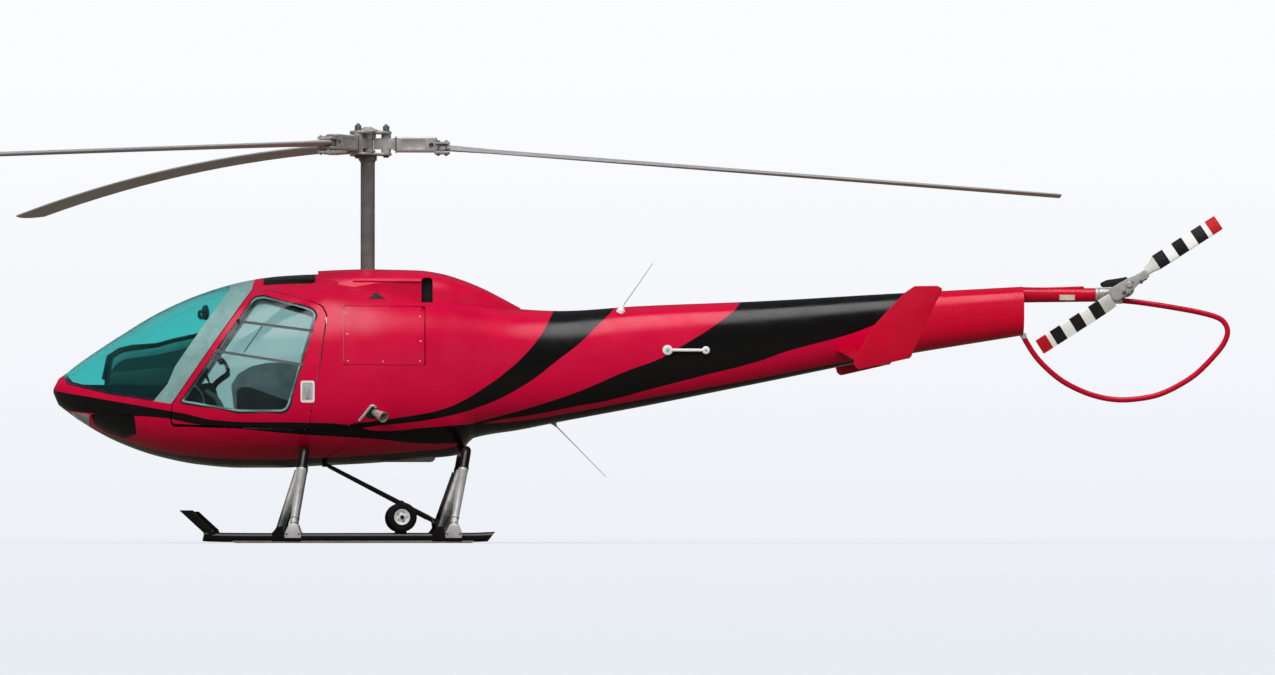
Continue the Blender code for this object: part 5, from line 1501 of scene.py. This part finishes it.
def airfoil(chord, thickness, lead=0.25, points=18):
    """Points of a blade section: x runs from the leading edge aft, z up."""
    upper = []
    for index in range(points + 1):
        share = 0.5 * (1 + cos(pi * index / points))
        height = 5 * (0.2969 * sqrt(share) - 0.126 * share - 0.3516 * share ** 2
            + 0.2843 * share ** 3 - 0.1015 * share ** 4)
        upper.append(((share - lead) * chord, max(height, 0.012) * thickness if share > 0 else 0.0))
    return upper + [(x, -z) for x, z in reversed(upper[:-1])]


class HELICOPTER_OT_main_rotor(bpy.types.Operator):
    """Build the mast, hub, grips and blades of the main rotor"""
    bl_idname = "helicopter.main_rotor"
    bl_label = "Main rotor"

    def execute(self, context):
        for number, blade in enumerate(BLADES, start=1):
            self.blade(number, *blade)
            self.grip(number, *blade[:3])
        self.hub()
        foot = HUB_Z + HUB_PLATES[0] - 0.0008
        height = foot - 1.7
        finish(turned("mast_tube", ((MAST_RADIUS - 0.002, 0), (MAST_RADIUS, 0.002),
            (MAST_RADIUS, height - 0.05), (0.052, height - 0.044), (0.052, height - 0.036),
            (0.06, height - 0.034), (0.062, height - 0.031), (0.062, height - 0.004),
            (0.06, height - 0.0005)), (at(0), 0, 1.7), UP, 48), "mast_metal", "steel", "rotor_mast",
            body="main_rotor")
        return {"FINISHED"}

    def hub(self):
        arms = [radians(blade[0]) for blade in BLADES]
        parts = []
        darks = []
        for level in HUB_PLATES:
            outline = []
            for step in range(90):
                angle = 2 * pi * step / 90
                lobe = max(cos(angle - arm) for arm in arms)
                reach = HUB_WAIST + HUB_LOBE * max(0, 2 * lobe - 1)
                outline.append((cos(angle) * reach, sin(angle) * reach))
            parts.append(plate("hub_plate", outline, HUB_Z + level, HUB_Z + level + HUB_PLATE_THICKNESS,
                0.004, plan=True))
        foot = HUB_Z + HUB_PLATES[0]
        parts.append(turned("hub_core", ((0.036, -0.0008), (0.04, 0.002), (0.04, 0.018), (0.052, 0.024),
            (0.052, 0.034), (0.038, 0.044), (0.038, 0.106), (0.056, 0.124), (0.056, 0.148)),
            (at(0), 0, foot), UP, 40))
        top = HUB_Z + HUB_PLATES[1] + HUB_PLATE_THICKNESS
        parts.append(turned("hub_crown", ((0.096, -0.004), (0.096, 0.0), (0.086, 0.006), (0.062, 0.014),
            (0.042, 0.021), (0.034, 0.027)), (at(0), 0, top), UP, 40))
        darks.append(turned("crown_nut", ((0.03, 0.024), (0.03, 0.0285), (0.026, HUB_TOP - top)),
            (at(0), 0, top), UP, 6))
        for arm in arms:
            along = Vector((cos(arm), sin(arm), 0))
            pin = spot(0, 0, HUB_Z) + along * HUB_PIN_REACH
            turn = Matrix.Translation(pin) @ Matrix.Rotation(arm, 4, "Z")
            inner, outer = -0.085, GRIP_START - GAP - HUB_PIN_REACH
            parts.append(moved(block("hub_block", (inner, -0.029, -0.032), (outer - 0.012, 0.029, 0.042),
                0.006), turn))
            parts.append(moved(block("block_flange", (outer - 0.014, -0.034, -0.04), (outer, 0.034, 0.044),
                0.002), turn))
            parts.append(turned("block_boss", ((0.031, -0.058), (0.033, -0.054), (0.033, 0.068),
                (0.031, 0.072)), pin, UP, 32))
            darks.append(rod("hub_pin", pin - Vector((0, 0, 0.088)), pin + Vector((0, 0, 0.137)), 0.012,
                20))
            for low, high in ((0.0882, 0.092), (-0.08, -0.0762)):
                darks.append(rod("pin_washer", pin + Vector((0, 0, low)), pin + Vector((0, 0, high)), 0.027,
                    28))
            for low, high, radius in ((0.092, 0.126, 0.0225), (-0.09, -0.08, 0.02)):
                darks.append(turned("pin_nut", ((radius - 0.002, low), (radius, low + 0.002),
                    (radius, high - 0.003), (radius - 0.004, high)), pin, UP, 6))
        finish(merged("hub_forging", parts), "hub_metal", "steel", "rotor_hub", body="main_rotor")
        finish(merged("hub_bolts", darks), "bolt_metal", "steel", body="main_rotor")

    def grip(self, number, azimuth, root_z, slope):
        turn = Matrix.Translation((at(0), 0, 0)) @ Matrix.Rotation(radians(azimuth), 4, "Z")
        low, high = HUB_Z - 0.053, HUB_Z + 0.05
        body = block("grip_body", (GRIP_START + 0.001, -0.045, low), (GRIP_END, 0.045, high), 0.009, 3)
        holes = []
        for side in (-1, 1):
            holes.append(turned("hole", ((0.017, -0.02), (0.017, 0.01)),
                (0.432, side * 0.045, HUB_Z - 0.008), (0, side, 0), 24))
            holes.append(block("recess", (0.232, min(side * 0.041, side * 0.06), low + 0.02),
                (0.392, max(side * 0.041, side * 0.06), high - 0.02), 0.003))
        cut(body, *holes)
        drop = slope * (CLAMP_END - GRIP_END) / 2
        middle = root_z - drop
        jaws = [body]
        for reach in (-1, 1):
            outline = rounded(((GRIP_END - 0.012, -0.052), (CLAMP_END - 0.004, -0.06), (CLAMP_END, -0.04),
                (CLAMP_END, 0.04), (CLAMP_END - 0.004, 0.06), (GRIP_END - 0.012, 0.052)), 0.014)
            ends = sorted((middle + reach * 0.024, middle + reach * 0.042))
            jaw = plate("clamp_jaw", outline, *ends, 0.003, plan=True)
            jaws.append(moved(jaw, Matrix.Translation((-at(0), 0, 0))))
        rings = []
        for reach, half, tall in ((0.462, 0.04, 0.045), (0.474, 0.04, 0.04), (0.492, 0.034, 0.03),
                (0.54, 0.046, 0.021), (CLAMP_END, 0.05, 0.019)):
            rings.append([Vector((reach, half * y, middle + tall * z)) for y, z in circle(1.0, 32)])
        sleeve = loft(f"root_sleeve_{number}", rings)
        darks = []
        for reach in (-1, 1):
            for across in (-0.042, 0.042):
                for along in (0.48, 0.534):
                    place = (along, across, middle + reach * 0.042)
                    darks += bolt("clamp_bolt", place, (0, 0, reach), 0.01, 0.008)
                    darks.append(rod("clamp_shank", (along, across, middle), place, 0.006, 12))
        # A dark disc at the bottom of each blind hole is painted shade of the hole's inside.
        for side in (-1, 1):
            darks.append(turned("hole_painted_shade", ((0.0165, 0), (0.0165, 0.002), (0.004, 0.004)),
                (0.432, side * 0.026, HUB_Z - 0.008), (0, side, 0), 24))
        darks.append(block("grip_joint", (GRIP_START, -0.0475, low - 0.003),
            (GRIP_START + 0.008, 0.0475, high + 0.003), 0.002))
        for across in (-0.028, 0.028):
            for height in (low + 0.016, high - 0.016):
                darks += bolt("grip_bolt", (GRIP_END - 0.001, across, height), (1, 0, 0), 0.007, 0.006)
        forging = merged(f"grip_forging_{number}", jaws)
        finish(moved(sleeve, turn), "light_metal", "steel", body="main_rotor")
        finish(moved(forging, turn), "hub_metal", "steel", f"blade_grip_{number}", body="main_rotor")
        finish(moved(merged(f"grip_bolts_{number}", darks), turn), "bolt_metal", "steel", body="main_rotor")

    def blade(self, number, azimuth, root_z, slope, bend):
        turn = Matrix.Translation((at(0), 0, 0)) @ Matrix.Rotation(radians(azimuth), 4, "Z")
        reaches = [CLAMP_END + GAP, 0.64, 0.6405, 0.72, 0.7205, 0.8, 0.8005]
        reaches += [0.8005 + (ROTOR_RADIUS - 0.8005) * step / 14 for step in range(1, 15)]
        rings = []
        for radius in reaches:
            run = radius - BLADE_START
            height = root_z - slope * run - bend * run * run
            pitch = ROOT_PITCH * (1 - run / (ROTOR_RADIUS - BLADE_START))
            doublers = sum(0.0016 for end in (0.64, 0.72, 0.8) if radius <= end)
            rings.append([Vector((radius, -x * cos(pitch) - z * sin(pitch), height - x * sin(pitch)
                + z * cos(pitch))) for x, z in airfoil(BLADE_CHORD, BLADE_THICKNESS + 2 * doublers)])
        blade = moved(loft(f"main_blade_skin_{number}", rings), turn)
        finish(blade, "blade_metal", "steel", f"main_blade_{number}", body="main_rotor")


def strut_line(side, stations):
    """Corner of the cross tube, end of its stub and foot of the oleo, all on one slanted line."""
    corner = spot(stations[0], side * CROSS_TUBE_CORNER, CROSS_TUBE_Z)
    foot = spot(stations[1], side * (SKID_Y - 0.012), OLEO_FOOT)
    share = (CROSS_TUBE_Z - STUB_LOW) / (CROSS_TUBE_Z - OLEO_FOOT)
    return corner, corner.lerp(foot, share), foot


def rounded_box_ring(low, high, radius, height, steps=5):
    """A level ring with rounded corners between two corners: x and y."""
    ring = []
    for corner, (sx, sy) in enumerate(((1, 1), (-1, 1), (-1, -1), (1, -1))):
        centre = (high[0] - radius if sx > 0 else low[0] + radius, high[1] - radius if sy > 0 else low[1]
            + radius)
        for step in range(steps + 1):
            angle = pi / 2 * (corner + step / steps)
            ring.append(Vector((centre[0] + radius * cos(angle), centre[1] + radius * sin(angle), height)))
    return ring


class HELICOPTER_OT_landing_gear(bpy.types.Operator):
    """Build the skids, legs and ground handling wheels"""
    bl_idname = "helicopter.landing_gear"
    bl_label = "Landing gear"

    def execute(self, context):
        for end, stations in (("front", FRONT_GEAR), ("rear", REAR_GEAR)):
            self.cross_tube(end, stations)
            for side, word in SIDES:
                self.leg(side, f"{end}_{word}", stations)
        for side, word in SIDES:
            self.skid(side, word)
            self.drag_strut(side, word)
            self.wheel(side, word)
        return {"FINISHED"}

    def cross_tube(self, end, stations):
        half = []
        caps = []
        for side in (-1, 1):
            corner, stub, foot = strut_line(side, stations)
            inner = corner - Vector((0, side * CROSS_TUBE_BEND, 0))
            along = (foot - corner).normalized()
            outer = corner + along * CROSS_TUBE_BEND
            bend = [inner.lerp(corner, t).lerp(corner.lerp(outer, t), t) for t in shares(10)]
            half.append([*bend, stub - along * 0.001])
            caps.append(turned("stub_ring", ((CROSS_TUBE_RADIUS, -0.022), (0.0355, -0.02), (0.0355, -0.002),
                (0.034, 0)), stub, along, 32))
        bar = tube(f"cross_bar_{end}", [*reversed(half[0]), *half[1]], CROSS_TUBE_RADIUS, 32)
        finish(merged(f"cross_bar_{end}", [bar, *caps]), "black", "black", f"cross_tube_{end}")

    def leg(self, side, name, stations):
        _, stub, foot = strut_line(side, stations)
        along = (foot - stub).normalized()
        crown = stub + along * GAP
        length = (foot - crown).length
        profile = ((0.0325, 0), (0.034, 0.003), (0.0335, 0.022), (0.0325, 0.024), (0.0245, 0.8),
            (0.0265, 0.806), (0.0268, 0.835), (0.0195, 0.842), (0.0195, 0.855), (0.025, 0.862),
            (0.025, 0.925), (0.019, 0.932), (0.019, 0.955), (0.023, 0.962), (0.023, 1.0))
        fitted = [(radius, length * place if place >= 0.1 else place) for radius, place in profile]
        oleo = turned(f"oleo_{name}", fitted, crown, along, 40)
        y = side * SKID_Y
        rings = []
        for height, back, front, half in ((0.126, -0.026, 0.034, 0.03), (0.118, -0.029, 0.037, 0.034),
                (0.096, -0.04, 0.045, 0.038), (0.072, -0.052, 0.054, 0.042), (0.05, -0.056, 0.056, 0.044),
                (0.034, -0.056, 0.056, 0.044)):
            rings.append(rounded_box_ring((at(stations[1] + back), y - half),
                (at(stations[1] + front), y + half), 0.014, height))
        bell = loft(f"bell_{name}", rings, 40)
        cut(bell, rod("seat", (at(stations[1] - 0.1), y, SKID_Z), (at(stations[1] + 0.1), y, SKID_Z),
            SKID_RADIUS + GAP, 40))
        finish(merged(f"oleo_{name}", [oleo, bell]), "oleo_metal", "steel", f"gear_leg_{name}")
        self.fairing(side, name, stations, stub, foot)

    def fairing(self, side, name, stations, stub, foot):
        y = side * SKID_Y
        top = stub.lerp(foot, 0.03) - Vector((0.022, 0, 0))
        low = spot(stations[2], foot.y, 0.08)
        along = (low - top).normalized()
        fore = (Vector((1, 0, 0)) - along * along.x).normalized()
        across = along.cross(fore)
        section = [(x + 0.006, z) for x, z in airfoil(0.06, 0.026, 0.5)]
        bar = loft(f"leg_bar_{name}", [[place + fore * x + across * z for x, z in section]
            for place in (top, top.lerp(low, 0.5), low)])
        finish(bar, "leg_paint", "black")
        shoe = [(stations[2] + station, height) for station, height in LEG_SHOE]
        shoe += [(stations[1] - 0.057, 0.036), (stations[2] - 0.046, 0.036)]
        darks = [plate("leg_shoe", shoe, y - 0.036, y + 0.036, 0.006)]
        for first, last, radius in ((stations[2] - 0.046, stations[1] - 0.058, 0.0355),
                (stations[1] - 0.056, stations[1] + 0.056, 0.0365)):
            darks.append(rod("skid_clamp", (at(first), y, SKID_Z), (at(last), y, SKID_Z), radius, 40,
                0.003))
        for station in (stations[1] - 0.04, stations[1] + 0.04):
            for edge in (-1, 1):
                darks += bolt("clamp_bolt", (at(station), y + edge * 0.038, 0.058), (0, edge, 0.4), 0.007,
                    0.006)
        if name.startswith("rear"):
            eye = spot(stations[2] - 0.02, side * 1.0, 0.15) + Vector((0.012, side * 0.001, -0.004))
            darks.append(rod("strut_eye", eye, (at(stations[2]), side * (SKID_Y - 0.03), 0.095), 0.016, 24))
        finish(merged(f"leg_shoes_{name}", darks), "black", "black")

    def skid(self, side, word):
        y = side * SKID_Y
        path = curved([(at(station), y, height) for station, height in SKID_PATH], 6)
        path = [*path[:-1], *[spot(station, y, height) for station,
            height in ((0.66, SKID_Z), (0.72, SKID_Z + 0.001), (0.78, SKID_Z + 0.003),
            (0.86, SKID_Z + 0.008))]]
        runner = tube(f"skid_tube_{word}", path, SKID_RADIUS, 32)
        heel = block("heel", (at(0.81), y - 0.1, -0.1), (at(0.99), y + 0.1, 0.14), 0)
        middle = spot(0.9, y, 0.0)
        lean = Matrix.Translation(middle) @ Matrix.Rotation(radians(38), 4,
            "Y") @ Matrix.Translation(-middle)
        cut(runner, block("toe", (at(-1.6), y - 0.1, TOE_TOP), (at(-1.0), y + 0.1, 0.5), 0),
            moved(heel, lean))
        finish(runner, "black", "black", f"skid_{word}")
        section = ((-0.021, 0.0), (0.021, 0.0), (0.024, 0.006), (0.022, 0.017), (-0.022, 0.017),
            (-0.024, 0.006))
        rings = []
        for station, lift in ((SHOE_SPAN[0], 0.006), (SHOE_SPAN[0] + 0.02, 0.0), (SHOE_SPAN[1] - 0.02, 0.0),
                (SHOE_SPAN[1], 0.006)):
            rings.append([spot(station, y + a, max(b, lift)) for a, b in section])
        finish(loft(f"wear_strip_{word}", rings), "worn_metal", "steel")
        x = at(WHEEL_STATION)
        inner = y - side * (WHEEL_WIDTH / 2 + 0.016)
        arm = rounded(((-0.034, 0.056), (0.034, 0.056), (0.026, 0.098), (0.022, 0.192), (0.012, 0.202),
            (-0.012, 0.202), (-0.022, 0.192), (-0.026, 0.098)), 0.008)
        parts = [plate("wheel_arm", [(WHEEL_STATION + a, b) for a, b in arm],
            *sorted((inner, inner + side * 0.008)), 0.0015)]
        parts.append(block("wheel_foot", (x - 0.034, min(inner, y), 0.05),
            (x + 0.034, max(inner, y), 0.0675), 0.003))
        parts.append(rod("wheel_axle", (x, inner, WHEEL_Z), (x, y + side * (WHEEL_WIDTH / 2 + 0.004),
            WHEEL_Z), 0.0105))
        outer = (x, y + side * (WHEEL_WIDTH / 2 + 0.001), WHEEL_Z)
        parts.append(turned("wheel_nut", ((0.013, 0), (0.014, 0.002), (0.014, 0.008), (0.009, 0.011)),
            outer, (0, side, 0), 6))
        finish(merged(f"wheel_bracket_{word}", parts), "black", "black")

    def drag_strut(self, side, word):
        top = spot(-0.29, side * 0.34, 0.535)
        low = spot(REAR_GEAR[2] - 0.02, side * 1.0, 0.15)
        along = (low - top).normalized()
        length = (low - top).length
        bar = turned("bar", ((0.0085, 0.012), (0.0085, 0.03), (0.011, 0.045), (0.011, length - 0.06),
            (0.0085, length - 0.045), (0.0085, length - 0.004)), top, along, 20)
        lug = turned("lug", ((0.016, -0.016), (0.019, -0.012), (0.019, 0.01), (0.016, 0.014)), top, UP, 24)
        clip = turned("clip", ((0.012, 0), (0.016, 0.002), (0.016, 0.024), (0.012, 0.026)),
            top.lerp(low, 0.685), along, 20)
        for piece in (bar, lug):
            cut(piece, body_solid("seat", -0.5, -0.08, -GAP))
        finish(merged(f"drag_bar_{word}", [bar, lug, clip]), "black", "black", f"drag_strut_{word}")

    def wheel(self, side, word):
        body = f"{word}_ground_wheel"
        centre = spot(WHEEL_STATION, side * SKID_Y, WHEEL_Z)
        bead, edge, half = 0.0525, WHEEL_RADIUS, WHEEL_WIDTH / 2
        wall = ((bead, -half * 0.8), (bead + 0.004, -half * 0.93), (bead + 0.016, -half),
            (edge - 0.018, -half * 0.98), (edge - 0.008, -half * 0.86), (edge - 0.002, -half * 0.66))
        tread = [(edge - 0.001, -half * 0.62)]
        for middle in (-0.34, 0.0, 0.34):
            tread += [(edge, half * (middle - 0.13)), (edge - 0.004, half * (middle - 0.1)),
                (edge - 0.004, half * (middle + 0.1)), (edge, half * (middle + 0.13))]
        tread.append((edge - 0.001, half * 0.62))
        profile = [*wall, *tread, *[(radius, -along) for radius, along in reversed(wall)]]
        profile += [(bead - 0.002, half * 0.6), (bead - 0.002, -half * 0.6)]
        finish(turned(f"tyre_{word}", profile, centre, (0, 1, 0), 64, ring=True), "rubber", "rubber",
            f"wheel_{word}", body=body)
        faces = []
        for face in (-1, 1):
            faces.append(turned("rim", ((bead, 0.004), (bead, half * 0.86), (bead - 0.003, half * 0.9),
                (bead - 0.006, half * 0.84), (0.036, half * 0.52), (0.03, half * 0.5), (0.024, half * 0.56),
                (0.02, half * 0.82), (0.0155, half * 0.86), (0.0118, half * 0.8), (0.0118, 0.004)), centre,
                (0, face, 0), 48, ring=True))
        finish(merged(f"wheel_rim_{word}", faces), "rim_metal", "steel", body=body)
        bolts = []
        for face in (-1, 1):
            for step in range(5):
                angle = 2 * pi * step / 5
                place = centre + Vector((0.031 * cos(angle), face * half * 0.5, 0.031 * sin(angle)))
                bolts += bolt("rim_bolt", place, (0, face, 0), 0.0035, 0.004)
        finish(merged(f"rim_bolts_{word}", bolts), "bolt_metal", "steel", body=body)


class HELICOPTER_OT_stage(bpy.types.Operator):
    """Build the pale floor, the studio light and the camera"""
    bl_idname = "helicopter.stage"
    bl_label = "Stage"

    def execute(self, context):
        self.camera(context)
        self.light(context)
        self.floor()
        return {"FINISHED"}

    def camera(self, context):
        data = bpy.data.cameras.new("camera")
        data.sensor_width = 36
        data.lens = CAMERA_LENS
        data.clip_end = 500
        camera = bpy.data.objects.new("camera", data)
        context.scene.collection.objects.link(camera)
        camera.location = CAMERA_PLACE
        aim = Vector(CAMERA_AIM) - camera.location
        camera.rotation_euler = aim.to_track_quat("-Z", "Y").to_euler()
        context.scene.camera = camera

    def light(self, context):
        """A pale backdrop for the camera, a brighter studio for the surfaces and three soft suns."""
        world = bpy.data.worlds.new("studio")
        world.use_nodes = True
        direction = node(world, "TexCoord").outputs["Generated"]
        height = node(world, "SeparateXYZ", Vector=direction).outputs["Z"]

        def sky(stops, low=-1.0, high=1.0):
            ramp = node(world, "ValToRGB", Fac=ranged(world, height, 0.0, 1.0, low, high))
            colour_stops(ramp, stops)
            return ramp.outputs["Color"]

        backdrop = sky(((0.0, (0.847, 0.873, 0.923)), (1.0, (0.965, 0.98, 1.0))), -0.005, 0.06)
        studio = sky(((0.0, (0.16, 0.16, 0.17)), (0.5, (0.3, 0.31, 0.33)), (0.62, (0.62, 0.64, 0.68)),
            (1.0, (0.6, 0.6, 0.62))))
        dark = sky(((0.0, (0.02, 0.02, 0.02)), (0.5, (0.05, 0.05, 0.055)), (0.8, (0.09, 0.09, 0.1)),
            (1.0, (0.12, 0.12, 0.13))))
        facing = node(world, "VectorMath")
        facing.operation = "DOT_PRODUCT"
        feed(world, facing.inputs[0], direction)
        feed(world, facing.inputs[1], Vector((0.0, -0.38, 0.92)).normalized())
        soft_box = ranged(world, facing.outputs["Value"], 0.0, 1.0, cos(radians(30)), cos(radians(10)))
        soft_box.node.interpolation_type = "SMOOTHSTEP"
        path = node(world, "LightPath").outputs
        lit = mixed(world, path["Is Glossy Ray"], studio, mixed(world, soft_box, dark, (7.0, 7.0, 7.2)))
        seen = maths(world, "MAXIMUM", path["Is Camera Ray"], path["Is Transmission Ray"])
        feed(world, world.node_tree.nodes["Background"].inputs["Color"], mixed(world, seen, lit, backdrop))
        context.scene.world = world
        for name, towards, strength, spread, colour in (("key", (0.35, 0.84, -0.7), 2.45, 40,
                (1.0, 0.98, 0.95)), ("fill", (-0.5, 0.8, -0.25), 0.38, 60, (0.94, 0.97, 1.0)),
                ("back", (0.1, -0.9, -0.4), 0.3, 60, (1.0, 1.0, 1.0))):
            data = bpy.data.lights.new(name, "SUN")
            data.energy = strength
            data.angle = radians(spread)
            data.color = colour
            lamp = bpy.data.objects.new(name, data)
            lamp.visible_glossy = False
            lamp.rotation_euler = Vector(towards).to_track_quat("-Z", "Y").to_euler()
            context.scene.collection.objects.link(lamp)
        context.scene.view_settings.view_transform = "Standard"

    def floor(self):
        shape = bmesh.new()
        bmesh.ops.create_grid(shape, x_segments=8, y_segments=8, size=400)
        floor = from_bmesh("studio_floor", shape)
        material = new_material("studio_floor", (0.8, 0.82, 0.85), 1.0, specular=0.0)
        ahead = maths(material, "ADD", axis_of(material, "Y"), CAMERA_DISTANCE)
        nearness = maths(material, "DIVIDE", FLOOR_NEAR, ahead)
        shade = mixed(material, nearness, (0.733, 0.751, 0.789), (0.699, 0.737, 0.76))
        path = node(material, "LightPath").outputs
        seen = maths(material, "MAXIMUM", path["Is Camera Ray"], path["Is Transmission Ray"])
        drive(material, "Base Color", mixed(material, seen, (0.15, 0.13, 0.105), shade))
        floor.data.materials.append(material)


PIECES = (HELICOPTER_OT_stage, HELICOPTER_OT_cabin_skin, HELICOPTER_OT_cabin_glass, HELICOPTER_OT_doors,
    HELICOPTER_OT_cabin_inside, HELICOPTER_OT_engine_bay, HELICOPTER_OT_cowl, HELICOPTER_OT_tail_boom,
    HELICOPTER_OT_tail_rotor, HELICOPTER_OT_main_rotor, HELICOPTER_OT_landing_gear)


class HELICOPTER_PT_pieces(bpy.types.Panel):
    """Lists the helicopter's pieces and looks"""
    bl_idname = "HELICOPTER_PT_pieces"
    bl_label = "Light helicopter"
    bl_space_type = "VIEW_3D"
    bl_region_type = "UI"
    bl_category = "Helicopter"

    def draw(self, context):
        layout = self.layout
        for name in HelicopterLooks.__annotations__:
            layout.prop(context.scene.helicopter_looks, name)
        for piece in PIECES:
            layout.operator(piece.bl_idname)


CLASSES = (HelicopterLooks, *PIECES, HELICOPTER_PT_pieces)


def register():
    for kind in CLASSES:
        bpy.utils.register_class(kind)
    bpy.types.Scene.helicopter_looks = PointerProperty(type=HelicopterLooks)


def unregister():
    del bpy.types.Scene.helicopter_looks
    for kind in reversed(CLASSES):
        bpy.utils.unregister_class(kind)


def main():
    register()
    bpy.ops.helicopter.stage()
    bpy.ops.helicopter.cabin_skin()
    bpy.ops.helicopter.cabin_glass()
    bpy.ops.helicopter.doors()
    bpy.ops.helicopter.cabin_inside()
    bpy.ops.helicopter.engine_bay()
    bpy.ops.helicopter.cowl()
    bpy.ops.helicopter.tail_boom()
    bpy.ops.helicopter.tail_rotor()
    bpy.ops.helicopter.main_rotor()
    bpy.ops.helicopter.landing_gear()


if __name__ == "__main__":
    main()
